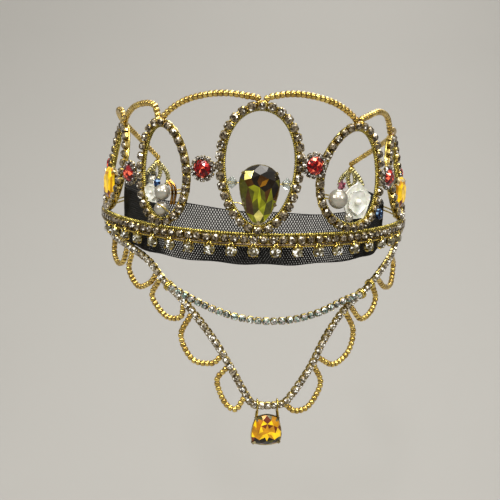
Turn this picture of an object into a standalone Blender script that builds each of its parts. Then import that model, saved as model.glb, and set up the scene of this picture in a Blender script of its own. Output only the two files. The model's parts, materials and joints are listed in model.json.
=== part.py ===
"""A ballet tiara: upright stone-set loops on a wire ring, bead arches, and a drape over the brow.

Sizes are millimetres and angles are degrees round the ring, 0 at the front and positive to the
wearer's left (+X). finish_object turns millimetres into metres. The front faces -Y, and the
base ring lies level round the origin, which is the centre of the seat on the head.
"""

from math import acos, atan2, ceil, cos, degrees, hypot, pi, radians, sin

import bmesh
import bpy
from mathutils import Vector

MM = 0.001
GAP = 0.35  # left between neighbouring pieces

# The ring of the base, an oval in plan that the loops above lean in from
RING_HALF_WIDTH = 75.5
RING_HALF_DEPTH = 80.5
RING_LEAN = 0.0011  # share of the plan lost for each millimetre of height
RING_END = 148  # the ring is open at the back from here round

# The cut of the stones in the bands
STONE_RISE = 1.1  # from girdle to table
STONE_TABLE = 0.5  # table's share of the stone's width
STONE_DIP = 0.3  # how far the girdle dips between two stones
STONE_BULGE = 0.06  # how far a stone swells at its middle, as a share of the band's width

# The base band: a row of square-set stones in front, a plain wire behind the ears
BASE_HEIGHT = 4.0
BASE_MIDDLE = 0.5
BASE_BACK = -1.8
BASE_FACE = 1.3
BASE_STONES_END = 96
BASE_PITCH = 4.0
WIRE_HEIGHT = 2.2
WIRE_BACK = -1.3
WIRE_FACE = 0.9
WIRE_STEP = 6.0

# The row of round crystals under the base
CRYSTAL_RADIUS = 2.7
CRYSTAL_HEIGHT = -4.15
CRYSTAL_OUT = -0.6
CRYSTAL_STEP = 7.0
CRYSTAL_END = 63
CRYSTAL_WIRE_RADIUS = 0.55
CRYSTAL_WIRE_OUT = 1.3
CRYSTAL_SIDES = 8
CRYSTAL_CUT = (
    # share of its radius, height above its point
    (0.35, 0.0),
    (1.0, 2.3),
    (0.55, 3.5),
)

# The stone-set loops
LOOP_WIDTH = 3.6
LOOP_BACK = -1.6
LOOP_FACE = 1.1
LOOP_PITCH = 4.3
LOOP_FOOT = BASE_MIDDLE + BASE_HEIGHT / 2 + GAP
LOOP_INNER_SHARE = 0.56  # of its width, from a band's middle line in to where its stones end
LOOP_STEPS = 240  # steps round a loop for measuring its length
LOOPS = {
    # name: (angle, width, top height, share wider above than below, how far the top tips in,
    #        how far the top leans to the right)
    "loop_centre": (1.2, 37.0, 57.7, 0.10, 0.0, 0.0),
    "loop_front_left": (-33.2, 29.6, 48.9, -0.05, 0.5, -4.0),
    "loop_front_right": (35.2, 39.6, 50.0, -0.10, 0.5, 4.2),
    "loop_side_left": (-69.6, 31.0, 44.8, 0.03, 4.5, 0.0),
    "loop_side_right": (71.0, 30.4, 43.6, 0.03, 4.0, 0.0),
}

# The rosettes between the loops
ROSETTE_RADIUS = 4.8
ROSETTE_STONE_RADIUS = 3.6
ROSETTE_CELLS = 10
ROSETTE_TABLE = 3.6  # heights above the loops' middle line
ROSETTE_GIRDLE = 2.2
ROSETTE_RIM = 1.2
ROSETTE_BACK = -0.2
ROSETTE_SMALL_RISE = 0.6
TIE_RADIUS = 0.6
ROSETTES = {
    # name: (angle, height, out, how far its tie bar reaches each way, 0 for none)
    "rosette_front_left": (-17.8, 29.0, -0.6, 5.2),
    "rosette_front_right": (18.4, 32.2, 2.7, 0.0),
    "rosette_side_left": (-49.9, 23.5, -0.8, 5.4),
    "rosette_side_right": (54.8, 25.0, -0.8, 0.0),
    "rosette_back_left": (-84.8, 22.5, -2.4, 0.0),
    "rosette_back_right": (86.4, 22.5, -2.4, 0.0),
}

# The small loops of leaf beads behind the ears
LEAF_ANGLE = 131
LEAF_SPREAD = 6.4
LEAF_LENGTH = 15.6
LEAF_WIDTH = 8.4
LEAF_WIRE_RADIUS = 1.2
LEAF_BEAD_RADIUS = 2.0
LEAF_PINCH = 0.35  # how much narrower a leaf is at its ends
LEAF_STEPS = 12
LEAF_FOOT = BASE_MIDDLE + WIRE_HEIGHT / 2 + GAP + LEAF_WIRE_RADIUS

# The bead arches over the loops
ARCH_DIAMETER = 2.8
ARCH_FOOT = 1.6  # how far an arch's end stands above the loop it is tied to
ARCH_BESIDE = 2.4  # and to the side of the loop's top
ARCH_FLATNESS = 2.4  # how squarely an arch turns over its top
ARCH_STEPS = 8
ARCHES = {
    # name: (loop it leaves, loop it reaches, rise, where along it peaks: 1 is the middle,
    #        how soon it swings out of its loop's tip)
    "arch_front_left": ("loop_centre", "loop_front_left", 6.2, 1.2, 1.0),
    "arch_front_right": ("loop_centre", "loop_front_right", 6.0, 1.05, 1.0),
    "arch_side_left": ("loop_front_left", "loop_side_left", 5.4, 0.6, 1.0),
    "arch_side_right": ("loop_front_right", "loop_side_right", 6.0, 1.3, 1.0),
    "arch_back_left": ("loop_side_left", None, 9.5, 0.75, 2.6),
    "arch_back_right": ("loop_side_right", None, 4.5, 0.9, 1.0),
}

# The net band that holds the head
NET_HALF_WIDTH = 66.0
NET_HALF_DEPTH = 78.0
NET_END = 122  # behind the ears
NET_THICKNESS = 1.0
NET_TOP = 11.5
NET_BOTTOM = -12.5
NET_STEP = 9.0

# The drape over the brow
BROW_HALF_WIDTH = 73.0
BROW_HALF_DEPTH = 81.0
BROW_OUT = -0.9  # where the drape hangs from the ring
BROW_JOINS = (-9.0, -3.0)  # heights between which the drape's surface runs up to the ring
V_CHAIN_DIAMETER = 3.0
V_CHAIN = (
    # angle, height
    (-71.0, -3.4),
    (-67.5, -6.6),
    (-62.0, -8.8),
    (-50.0, -10.2),
    (-39.0, -14.2),
    (-32.0, -21.5),
    (-22.4, -30.5),
    (-11.0, -47.0),
    (0.0, -69.9),
    (2.6, -73.0),
    (10.9, -73.0),
    (14.4, -70.1),
    (21.4, -57.4),
    (27.2, -43.6),
    (35.0, -32.0),
    (46.0, -24.5),
    (60.0, -15.8),
    (68.0, -12.4),
    (73.0, -8.0),
    (75.5, -3.4),
)
SWAG_DIAMETER = 3.2
SWAG_ENDS = (-30.0, 43.0)
SWAG_SAG = 10.9
SWAG_ROUND = 1.3  # over 1, it leaves the chain more gently and turns more in the middle
SWAG_RISES = (-0.2, 2.0)  # how far its ends' line stands above the chain, left and right
SWAG_STEPS = 8
SCALLOP_DIAMETER = 2.8
SCALLOPS = {
    # name: start angle on the chain, three (angle, height) it passes, end angle on the chain
    "scallop_left_1": (-63.5, (-65.0, -17.0), (-60.5, -20.5), (-55.5, -18.5), -52.0),
    "scallop_left_2": (-48.5, (-51.0, -21.0), (-45.0, -27.2), (-38.6, -24.0), -35.0),
    "scallop_left_3": (-33.5, (-37.4, -30.0), (-31.0, -37.4), (-25.0, -36.6), -23.5),
    "scallop_left_4": (-20.5, (-24.6, -45.0), (-20.0, -54.8), (-13.0, -55.4), -9.0),
    "scallop_left_5": (-7.0, (-10.9, -63.0), (-8.0, -72.5), (-4.2, -75.6), -0.6),
    "scallop_right_5": (12.0, (16.8, -76.6), (22.0, -74.8), (26.2, -65.2), 22.6),
    "scallop_right_4": (23.6, (31.2, -57.2), (37.8, -52.7), (39.8, -43.2), 34.8),
    "scallop_right_3": (37.0, (43.5, -38.6), (49.5, -36.8), (52.6, -31.0), 49.0),
    "scallop_right_2": (52.0, (60.0, -27.6), (69.0, -28.6), (73.0, -20.0), 66.0),
}

# The cuts of the larger stones: share of the outline, height above the girdle
PEAR_CUT = ((0.45, -2.0), (1.0, 0.0), (0.96, 0.5), (0.58, 3.6))
OCTAGON_CUT = ((0.5, -2.4), (0.97, -0.4), (1.0, 0.2), (0.8, 2.0), (0.56, 2.8))
FLOWER_CUT = ((0.8, -1.0), (1.0, 0.0), (0.86, 1.4), (0.3, 1.0))
SMALL_CUT = ((0.6, -0.9), (1.0, 0.0), (0.55, 1.1))
PENDANT_CUT = ((0.5, -2.6), (0.94, -0.4), (0.97, 0.4), (0.9, 1.0), (0.55, 3.0))

# The pear stone and its two beads, in the centre loop
PEAR_ANGLE = 1.2
PEAR_WIDTH = 18.0
PEAR_HEIGHT = 25.0
PEAR_FOOT = 6.9
PEAR_OUT = 1.0
PEAR_BELOW = 0.64  # share of its height that lies below its widest place
PEAR_TAPER = 0.30
PEAR_SIDES = 16
BICONE_RADIUS = 2.4
BICONE_HALF_LENGTH = 2.2
BICONE_HOLE_RADIUS = 0.9
BICONE_WIRE_RADIUS = 0.3
BICONE_HEIGHT = 24.0
BICONE_OUT = 0.6

# The long octagons in the side loops
OCTAGON_WIDTH = 12.0
OCTAGON_HEIGHT = 15.5
OCTAGON_MIDDLE = 15.6
OCTAGON_CORNER = 0.5  # share of its half width that each corner is cut by
OCTAGON_TIE_RISE = 0.6
OCTAGON_TIE_RADIUS = 0.5
OCTAGON_OUT = 0.4

# The jewels in the two front side loops
PEARLS = {
    # name: (angle, height, out, radius)
    "pearl_left_top": (-38.3, 21.95, -0.6, 1.7),
    "pearl_left_middle": (-32.1, 17.6, 1.4, 3.3),
    "pearl_left_low": (-32.2, 10.4, 1.2, 2.9),
    "pearl_right_big": (27.6, 17.8, 2.4, 4.0),
    "pearl_right_small": (32.6, 9.5, 1.2, 1.9),
}
FLOWERS = {
    # name: (angle, height, out, radius)
    "flower_left": (-37.55, 16.6, -0.9, 4.15),
    "flower_right": (36.6, 15.8, -0.3, 7.2),
}
FLOWER_PETALS = 5
FLOWER_NOTCH = 0.16
SMALL_STONES = {
    # name: (angle, height, out, width, length, material)
    "blue_stone_left": (-35.0, 21.0, 0.8, 2.6, 4.0, "blue_stone"),
    "star_stone_right": (29.6, 23.3, 1.4, 4.0, 4.0, "pink_stone"),
    "dark_stone_right": (45.4, 9.9, 3.5, 3.2, 5.0, "blue_stone"),
}
BRONZE_BEAD = (
    # angle, height, out
    (-31.0, 22.4, 0.6),
    (-28.9, 20.4, 0.8),
    (-28.3, 17.0, 0.8),
    (-29.0, 12.6, 0.4),
)
BRONZE_RADIUS = 1.1

# The pendant, which swings on the middle of the chain
PENDANT_ANGLE = 6.75  # where it hangs along the chain
PENDANT_TIE_ANGLE = 3.4  # and how far to each side its ties are
PENDANT_WIDTH = 14.0
PENDANT_SQUARENESS = 0.62
PENDANT_DROP = 12.2  # from the hinge to the stone's middle
PENDANT_OUT = -0.2
PENDANT_TIE_SPREAD = 4.4
PENDANT_TIE_RADIUS = 0.45
PENDANT_STEM_RADIUS = 0.6
PENDANT_STEM_REACH = 0.8  # share of the half width at which a stem enters the stone
BAIL_RADIUS = 2.7

MATERIALS = {
    # name: (colour, metallic, roughness, transmission)
    "gold_wire": ((0.78, 0.56, 0.18), 1.0, 0.28, 0.0),
    "clear_stone": ((0.80, 0.77, 0.70), 0.0, 0.06, 0.6),
    "red_stone": ((0.62, 0.03, 0.03), 0.0, 0.08, 0.4),
    "olive_stone": ((0.36, 0.30, 0.05), 0.0, 0.06, 0.4),
    "amber_stone": ((0.86, 0.46, 0.04), 0.0, 0.06, 0.4),
    "pearl": ((0.86, 0.84, 0.80), 0.0, 0.22, 0.0),
    "shell": ((0.86, 0.87, 0.80), 0.0, 0.25, 0.3),
    "blue_stone": ((0.03, 0.08, 0.22), 0.0, 0.1, 0.2),
    "pink_stone": ((0.45, 0.10, 0.16), 0.0, 0.1, 0.2),
    "bronze_bead": ((0.45, 0.24, 0.07), 0.6, 0.2, 0.0),
    "gold_beads": ((0.85, 0.60, 0.16), 0.7, 0.18, 0.0),
    "tinted_stone": ((0.55, 0.66, 0.62), 0.0, 0.06, 0.5),
    "black_net": ((0.03, 0.03, 0.03), 0.0, 0.6, 0.0),
}


def clear_scene():
    for thing in list(bpy.data.objects):
        bpy.data.objects.remove(thing, do_unlink=True)


def make_materials():
    made = {}
    for name, (colour, metallic, roughness, transmission) in MATERIALS.items():
        material = bpy.data.materials.new(name)
        material.use_nodes = True
        shader = material.node_tree.nodes["Principled BSDF"]
        shader.inputs["Base Color"].default_value = (*colour, 1.0)
        shader.inputs["Metallic"].default_value = metallic
        shader.inputs["Roughness"].default_value = roughness
        shader.inputs["Transmission Weight"].default_value = transmission
        made[name] = material
    return made


def add_empty(name, place=(0.0, 0.0, 0.0), parent=None):
    empty = bpy.data.objects.new(name, None)
    bpy.context.scene.collection.objects.link(empty)
    empty.location = Vector(place) * MM
    empty.parent = parent
    return empty


def finish_object(name, mesh, material, parent, origin=Vector()):
    """Links a bmesh as an object whose mesh is measured from origin."""
    bmesh.ops.recalc_face_normals(mesh, faces=mesh.faces)
    bmesh.ops.translate(mesh, verts=mesh.verts, vec=-origin)
    bmesh.ops.scale(mesh, verts=mesh.verts, vec=(MM, MM, MM))
    data = bpy.data.meshes.new(name)
    mesh.to_mesh(data)
    mesh.free()
    data.materials.append(material)
    made = bpy.data.objects.new(name, data)
    bpy.context.scene.collection.objects.link(made)
    made.parent = parent
    return made


def unite(target, other, crosses_itself=False):
    """Joins another object to target as one body, and hides the other."""
    other.hide_render = True
    other.display_type = "WIRE"
    join = target.modifiers.new(other.name, "BOOLEAN")
    join.operation = "UNION"
    join.use_self = crosses_itself
    join.object = other


def ring_point(angle, height, out=0.0):
    """A point of the leaning ring, moved out along the ring's own normal."""
    turn = radians(angle)
    share = 1 - RING_LEAN * height
    return oval_point(RING_HALF_WIDTH * share, RING_HALF_DEPTH * share, turn, height, out)


def oval_point(half_width, half_depth, turn, height, out):
    normal = Vector((half_depth * sin(turn), -half_width * cos(turn), 0)).normalized()
    place = Vector((half_width * sin(turn), -half_depth * cos(turn), height))
    return place + normal * out


def ring_normal(angle):
    return (ring_point(angle, 0, 1) - ring_point(angle, 0)).normalized()


def ring_radius(angle, half_width=RING_HALF_WIDTH, half_depth=RING_HALF_DEPTH):
    """Millimetres of ring for each radian of angle, there."""
    turn = radians(angle)
    return hypot(half_width * cos(turn), half_depth * sin(turn))


def smooth(points, spacing):
    """Points about spacing apart on a smooth curve through the points given."""
    points = [Vector(p) for p in points]
    padded = [2 * points[0] - points[1], *points, 2 * points[-1] - points[-2]]
    fine = []
    for before, start, end, after in zip(padded, padded[1:], padded[2:], padded[3:]):
        for step in range(12):
            t = step / 12
            fine.append(
                0.5
                * (
                    2 * start
                    + (end - before) * t
                    + (2 * before - 5 * start + 4 * end - after) * t**2
                    + (3 * start - before - 3 * end + after) * t**3
                )
            )
    fine.append(points[-1])
    return even(fine, spacing)


def even(line, spacing):
    """The line again with points about spacing apart, its two ends kept."""
    lengths = [(b - a).length for a, b in zip(line, line[1:])]
    count = max(2, ceil(sum(lengths) / spacing))
    step = sum(lengths) / count
    found = [line[0].copy()]
    walked = 0.0
    for start, end, length in zip(line, line[1:], lengths):
        while len(found) < count and walked + length >= step * len(found):
            found.append(start.lerp(end, (step * len(found) - walked) / length))
        walked += length
    found.append(line[-1].copy())
    return found


def add_string(name, points, diameter, material, parent):
    """A string of beads or stones as a plain tube with filled ends."""
    data = bpy.data.curves.new(name, "CURVE")
    data.dimensions = "3D"
    data.bevel_depth = diameter / 2 * MM
    data.bevel_resolution = 2
    data.use_fill_caps = True
    spline = data.splines.new("POLY")
    spline.points.add(len(points) - 1)
    for knot, point in zip(spline.points, points):
        knot.co = (*(point * MM), 1.0)
    data.materials.append(material)
    made = bpy.data.objects.new(name, data)
    bpy.context.scene.collection.objects.link(made)
    made.parent = parent
    return made


def add_tube(mesh, points, radius, sides):
    """Adds a closed tube along the points to a bmesh."""
    rings = []
    normal = None
    for i, point in enumerate(points):
        along = (points[min(i + 1, len(points) - 1)] - points[max(i - 1, 0)]).normalized()
        if normal is None:
            normal = along.orthogonal().normalized()
        normal = (normal - along * normal.dot(along)).normalized()
        across = along.cross(normal)
        rings.append(
            [
                mesh.verts.new(
                    point
                    + radius * (cos(2 * pi * k / sides) * normal + sin(2 * pi * k / sides) * across)
                )
                for k in range(sides)
            ]
        )
    join_rings(mesh, rings)


def join_rings(mesh, rings):
    """Skins rings of equal count and closes both ends."""
    count = len(rings[0])
    for low, high in zip(rings, rings[1:]):
        for k in range(count):
            m = (k + 1) % count
            mesh.faces.new((low[k], low[m], high[m], high[k]))
    mesh.faces.new(rings[0][::-1])
    mesh.faces.new(rings[-1])


class Station:
    """A cut across a band of stones: its middle, its side and outward directions, its sizes."""

    def __init__(self, middle, side, out, width, back, face):
        self.corners = [
            middle - side * width / 2 + out * back,
            middle + side * width / 2 + out * back,
            middle + side * width / 2 + out * face,
            middle + out * (face - STONE_DIP),
            middle - side * width / 2 + out * face,
        ]
        self.side = side
        self.out = out
        self.width = width


def add_band(mesh, stations, set_cells, closed):
    """Adds a band with a cut stone on each cell that is set: a table and eight facets."""
    cuts = [[mesh.verts.new(corner) for corner in station.corners] for station in stations]
    pairs = list(zip(range(len(cuts)), range(1, len(cuts))))
    if closed:
        pairs.append((len(cuts) - 1, 0))
    for index, (i, j) in enumerate(pairs):
        a, b = cuts[i], cuts[j]
        mesh.faces.new((a[0], a[1], b[1], b[0]))
        if not set_cells[index]:
            for k, m in ((1, 2), (2, 3), (3, 4), (4, 0)):
                mesh.faces.new((a[k], a[m], b[m], b[k]))
            continue
        bulge = stations[i].side * stations[i].width * STONE_BULGE
        middle_b = mesh.verts.new((a[2].co + b[2].co) / 2 + bulge)
        middle_a = mesh.verts.new((a[4].co + b[4].co) / 2 - bulge)
        mesh.faces.new((a[1], a[2], middle_b, b[2], b[1]))
        mesh.faces.new((a[4], a[0], b[0], b[4], middle_a))
        girdle = [a[4], a[3], a[2], middle_b, b[2], b[3], b[4], middle_a]
        add_crown(mesh, girdle, stations[i].out, STONE_RISE, STONE_TABLE)
    if not closed:
        mesh.faces.new(cuts[0])
        mesh.faces.new(cuts[-1][::-1])


def add_crown(mesh, girdle, out, rise, share):
    """Facets from a girdle up to a table."""
    middle = sum((vert.co for vert in girdle), Vector()) / len(girdle)
    level = max((vert.co - middle).dot(out) for vert in girdle) + rise
    table = []
    for vert in girdle:
        spoke = vert.co - middle
        spoke -= out * spoke.dot(out)
        table.append(mesh.verts.new(middle + spoke * share + out * level))
    for k in range(len(girdle)):
        m = (k + 1) % len(girdle)
        mesh.faces.new((girdle[k], girdle[m], table[m], table[k]))
    mesh.faces.new(table)


def make_base(material, parent):
    """The base band and the plain wire that carries on behind the ears, in one solid."""
    mesh = bmesh.new()
    cells = 2 * round(radians(BASE_STONES_END) * ring_radius(50) / BASE_PITCH)
    tail = [RING_END - k * WIRE_STEP for k in range(int((RING_END - BASE_STONES_END) / WIRE_STEP))]
    front = [BASE_STONES_END * (2 * k / cells - 1) for k in range(cells + 1)]
    stations = []
    for angle in [-a for a in tail] + front + tail[::-1]:
        stone = abs(angle) <= BASE_STONES_END
        height = BASE_HEIGHT if stone else WIRE_HEIGHT
        back, face = (BASE_BACK, BASE_FACE) if stone else (WIRE_BACK, WIRE_FACE)
        place = ring_point(angle, BASE_MIDDLE)
        stations.append(Station(place, Vector((0, 0, 1)), ring_normal(angle), height, back, face))
    set_cells = [len(tail) <= i < len(tail) + cells for i in range(len(stations) - 1)]
    add_band(mesh, stations, set_cells, closed=False)
    return finish_object("base_ring", mesh, material, parent)


def make_crystal_row(material, parent):
    """The round crystals under the base, on one wire."""
    row = bmesh.new()
    count = int(CRYSTAL_END / CRYSTAL_STEP)
    angles = [k * CRYSTAL_STEP for k in range(-count, count + 1)]
    for angle in angles:
        place = ring_point(angle, CRYSTAL_HEIGHT, CRYSTAL_OUT)
        turns = [2 * pi * (k + 0.5) / CRYSTAL_SIDES for k in range(CRYSTAL_SIDES)]
        outline = [(CRYSTAL_RADIUS * cos(t), CRYSTAL_RADIUS * sin(t)) for t in turns]
        add_cut_stone(row, place, frame_at(angle), outline, CRYSTAL_CUT)
    stones = finish_object("crystal_row_stones", row, material, None)
    wire = bmesh.new()
    path = [ring_point(angle, CRYSTAL_HEIGHT, CRYSTAL_OUT + CRYSTAL_WIRE_OUT) for angle in angles]
    add_tube(wire, path, CRYSTAL_WIRE_RADIUS, 5)
    made = finish_object("crystal_row", wire, material, parent)
    unite(made, stones)
    return made


def loop_place(name, turn):
    """The middle of a loop's band at this turn (0 at its foot), and its angle on the ring."""
    angle, width, top, egg, tip, lean = LOOPS[name]
    half_height = (top - LOOP_FOOT - LOOP_WIDTH) / 2
    half_width = (width - LOOP_WIDTH) / 2
    height = LOOP_FOOT + LOOP_WIDTH / 2 + half_height * (1 - cos(turn))
    along = half_width * sin(turn) * (1 - egg * cos(turn)) + lean * ((1 - cos(turn)) / 2) ** 2
    share = 1 - RING_LEAN * height
    there = angle + along / (ring_radius(angle) * share) * 180 / pi
    out = -tip * (height / top) ** 1.5
    return ring_point(there, height, out), there


def loop_inside(name, height):
    """How far the inner edge of a loop that doesn't lean is from its middle at this height."""
    _, width, top, egg, _, _ = LOOPS[name]
    half_height = (top - LOOP_FOOT - LOOP_WIDTH) / 2
    turn = acos(1 - (height - LOOP_FOOT - LOOP_WIDTH / 2) / half_height)
    along = (width - LOOP_WIDTH) / 2 * sin(turn) * (1 - egg * cos(turn))
    return along - LOOP_WIDTH * LOOP_INNER_SHARE


def loop_top(name):
    """Angle, height and out of the top of a loop's outer edge."""
    angle, _, top, _, tip, lean = LOOPS[name]
    return angle + degrees(lean / ring_radius(angle)), top, -tip


def make_loop(name, material, parent):
    mesh = bmesh.new()
    fine = [loop_place(name, 2 * pi * k / LOOP_STEPS)[0] for k in range(LOOP_STEPS + 1)]
    length = sum((b - a).length for a, b in zip(fine, fine[1:]))
    count = round(length / LOOP_PITCH)
    turns = [0.0]
    walked = 0.0
    for k, (a, b) in enumerate(zip(fine, fine[1:])):
        walked += (b - a).length
        if walked >= length / count * len(turns) and len(turns) < count:
            turns.append(2 * pi * (k + 1) / LOOP_STEPS)
    stations = []
    for turn in turns:
        place, angle = loop_place(name, turn)
        ahead, _ = loop_place(name, turn + 0.01)
        out = ring_normal(angle)
        side = (ahead - place).normalized().cross(out).normalized()
        stations.append(Station(place, side, out, LOOP_WIDTH, LOOP_BACK, LOOP_FACE))
    add_band(mesh, stations, [True] * count, closed=True)
    return finish_object(name, mesh, material, parent)


def make_rosette(name, material, parent):
    """A round stone in a ring of small ones, tied to the loops on both sides."""
    angle, height, out_by, reach = ROSETTES[name]
    across, up, out = frame_at(angle)
    place = ring_point(angle, height, out_by)
    mesh = bmesh.new()

    def ring(radius, level, offset=0.0):
        turns = [2 * pi * (k + offset) / ROSETTE_CELLS for k in range(ROSETTE_CELLS)]
        return [
            mesh.verts.new(place + out * level + radius * (cos(t) * across + sin(t) * up))
            for t in turns
        ]

    inner = ROSETTE_STONE_RADIUS + 0.1
    table = ring(0.55 * ROSETTE_STONE_RADIUS, ROSETTE_TABLE)
    girdle = ring(ROSETTE_STONE_RADIUS, ROSETTE_GIRDLE)
    seat = ring(inner, ROSETTE_RIM + 0.1)
    seat_middle = ring(inner - 0.15, ROSETTE_RIM + 0.1, 0.5)
    rim = ring(ROSETTE_RADIUS, ROSETTE_RIM)
    rim_middle = ring(ROSETTE_RADIUS + 0.1, ROSETTE_RIM, 0.5)
    between = ring((inner + ROSETTE_RADIUS) / 2, ROSETTE_RIM - 0.2)
    back = ring(ROSETTE_RADIUS - 0.3, ROSETTE_BACK)
    mesh.faces.new(table)
    mesh.faces.new(back[::-1])
    for k in range(ROSETTE_CELLS):
        m = (k + 1) % ROSETTE_CELLS
        mesh.faces.new((table[k], girdle[k], girdle[m], table[m]))
        mesh.faces.new((girdle[k], seat[k], seat_middle[k], seat[m], girdle[m]))
        mesh.faces.new((back[k], back[m], rim[m], rim_middle[k], rim[k]))
        cell = [
            seat[k],
            between[k],
            rim[k],
            rim_middle[k],
            rim[m],
            between[m],
            seat[m],
            seat_middle[k],
        ]
        add_crown(mesh, cell, out, ROSETTE_SMALL_RISE, STONE_TABLE)
    made = finish_object(name, mesh, material, parent)
    if reach:
        bar = bmesh.new()
        ends = [place + out * 0.5 - across * reach, place + out * 0.5 + across * reach]
        add_tube(bar, ends, TIE_RADIUS, 6)
        unite(made, finish_object(name + "_tie", bar, material, None))
    return made


def make_leaf_loops(name, side, material, parent):
    """Two leaf-shaped loops that lean together under a bead."""
    rings = bmesh.new()
    centre = side * LEAF_ANGLE
    radius = ring_radius(centre)
    for lean in (-1, 1):
        path = []
        for k in range(LEAF_STEPS):
            turn = 2 * pi * k / LEAF_STEPS
            along = (1 - cos(turn)) / 2
            wide = LEAF_WIDTH / 2 * sin(turn) * (1 - LEAF_PINCH * cos(2 * turn))
            sway = lean * LEAF_SPREAD * (1 - along) + wide
            angle = centre + sway / radius * 180 / pi
            path.append(ring_point(angle, LEAF_FOOT + LEAF_LENGTH * along))
        add_closed_tube(rings, path, LEAF_WIRE_RADIUS, 5)
    made = finish_object(name, rings, material, parent)
    bead = bmesh.new()
    bmesh.ops.create_uvsphere(bead, u_segments=10, v_segments=6, radius=LEAF_BEAD_RADIUS)
    bmesh.ops.translate(bead, verts=bead.verts, vec=ring_point(centre, LEAF_FOOT + LEAF_LENGTH))
    unite(made, finish_object(name + "_bead", bead, material, None), crosses_itself=True)
    return made


def add_closed_tube(mesh, points, radius, sides):
    """A tube that closes on itself."""
    count = len(points)
    middle = sum(points, Vector()) / count
    rings = []
    for i, point in enumerate(points):
        along = (points[(i + 1) % count] - points[i - 1]).normalized()
        outward = point - middle
        outward = (outward - along * outward.dot(along)).normalized()
        across = along.cross(outward)
        turns = [2 * pi * k / sides for k in range(sides)]
        rings.append(
            [mesh.verts.new(point + radius * (cos(t) * outward + sin(t) * across)) for t in turns]
        )
    for i in range(count):
        low, high = rings[i], rings[(i + 1) % count]
        for k in range(sides):
            m = (k + 1) % sides
            mesh.faces.new((low[k], low[m], high[m], high[k]))


def make_arch(name, material, parent):
    start, end, rise, peak, swing = ARCHES[name]
    side = -1 if "left" in name else 1
    angle_a, height_a, out_a = loop_top(start)
    angle_a += side * ARCH_BESIDE / ring_radius(angle_a) * 180 / pi
    if end is None:
        height_b = LEAF_FOOT + LEAF_LENGTH + LEAF_BEAD_RADIUS - 0.3
        angle_b, out_b = side * LEAF_ANGLE, 0.0
    else:
        angle_b, height_b, out_b = loop_top(end)
        angle_b -= side * ARCH_BESIDE / ring_radius(angle_b) * 180 / pi
    points = []
    for k in range(ARCH_STEPS + 1):
        share = k / ARCH_STEPS
        hump = 1 - abs(2 * share**peak - 1) ** ARCH_FLATNESS
        height = height_a + (height_b - height_a) * share + ARCH_FOOT + rise * hump
        out = out_b + (out_a - out_b) * (1 - share) ** swing
        points.append(ring_point(angle_a + (angle_b - angle_a) * share, height, out))
    return add_string(name, smooth(points, 2.4 * ARCH_DIAMETER), ARCH_DIAMETER, material, parent)


def make_net(material, parent):
    """The net band, a thin wall round the head, open at the back."""
    mesh = bmesh.new()
    steps = round(2 * NET_END / NET_STEP)
    rings = []
    for k in range(steps + 1):
        turn = radians(NET_END * (2 * k / steps - 1))
        cut = []
        for height, out in (
            (NET_BOTTOM, 0),
            (NET_TOP, 0),
            (NET_TOP, -NET_THICKNESS),
            (NET_BOTTOM, -NET_THICKNESS),
        ):
            place = oval_point(NET_HALF_WIDTH, NET_HALF_DEPTH, turn, height, out)
            cut.append(mesh.verts.new(place))
        rings.append(cut)
    join_rings(mesh, rings)
    return finish_object("net_band", mesh, material, parent)


def brow_point(angle, height):
    """A point of the drape's surface, which meets the ring under the base."""
    rest = oval_point(BROW_HALF_WIDTH, BROW_HALF_DEPTH, radians(angle), height, 0)
    low, high = BROW_JOINS
    share = min(1.0, max(0.0, (height - low) / (high - low)))
    return rest.lerp(ring_point(angle, height, BROW_OUT), share)


def chain_height(angle):
    """Height of the V chain at this angle."""
    for (a, low), (b, high) in zip(V_CHAIN, V_CHAIN[1:]):
        if a <= angle <= b:
            return low + (high - low) * (angle - a) / (b - a)
    return V_CHAIN[-1][1]


def off_chain(angle, towards, radius):
    """Where a string that runs on towards a point starts, just clear of the V chain."""
    on_chain = brow_point(angle, chain_height(angle))
    before = brow_point(angle - 0.6, chain_height(angle - 0.6))
    after = brow_point(angle + 0.6, chain_height(angle + 0.6))
    along = (after - before).normalized()
    way = (towards - on_chain).normalized()
    square = way - along * way.dot(along)
    lean = square.length
    spread = (1 - lean**2) ** 0.5
    need = V_CHAIN_DIAMETER / 2 + GAP + radius * spread
    return on_chain + way * need / lean


def make_v_chain(material, parent):
    points = smooth([brow_point(*row) for row in V_CHAIN], 2.5 * V_CHAIN_DIAMETER)
    return add_string("v_chain", points, V_CHAIN_DIAMETER, material, parent)


def make_swag(material, parent):
    start, end = SWAG_ENDS
    low = chain_height(start) + SWAG_RISES[0]
    high = chain_height(end) + SWAG_RISES[1]
    points = []
    for k in range(1, SWAG_STEPS):
        share = k / SWAG_STEPS
        sag = SWAG_SAG * (4 * share * (1 - share)) ** SWAG_ROUND
        height = low + (high - low) * share - sag
        points.append(brow_point(start + (end - start) * share, height))
    points.insert(0, off_chain(start, points[0], SWAG_DIAMETER / 2))
    points.append(off_chain(end, points[-1], SWAG_DIAMETER / 2))
    line = smooth(points, 2.5 * SWAG_DIAMETER)
    return add_string("swag_chain", line, SWAG_DIAMETER, material, parent)


def make_scallop(name, material, parent):
    start, *passes, end = SCALLOPS[name]
    points = [brow_point(*place) for place in passes]
    points.insert(0, off_chain(start, points[0], SCALLOP_DIAMETER / 2))
    points.append(off_chain(end, points[-1], SCALLOP_DIAMETER / 2))
    line = smooth(points, 2.2 * SCALLOP_DIAMETER)
    return add_string(name, line, SCALLOP_DIAMETER, material, parent)


def frame_at(angle):
    """Right, up and out directions for a stone that faces out of the ring."""
    out = ring_normal(angle)
    up = Vector((0, 0, 1))
    return up.cross(out), up, out


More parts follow.
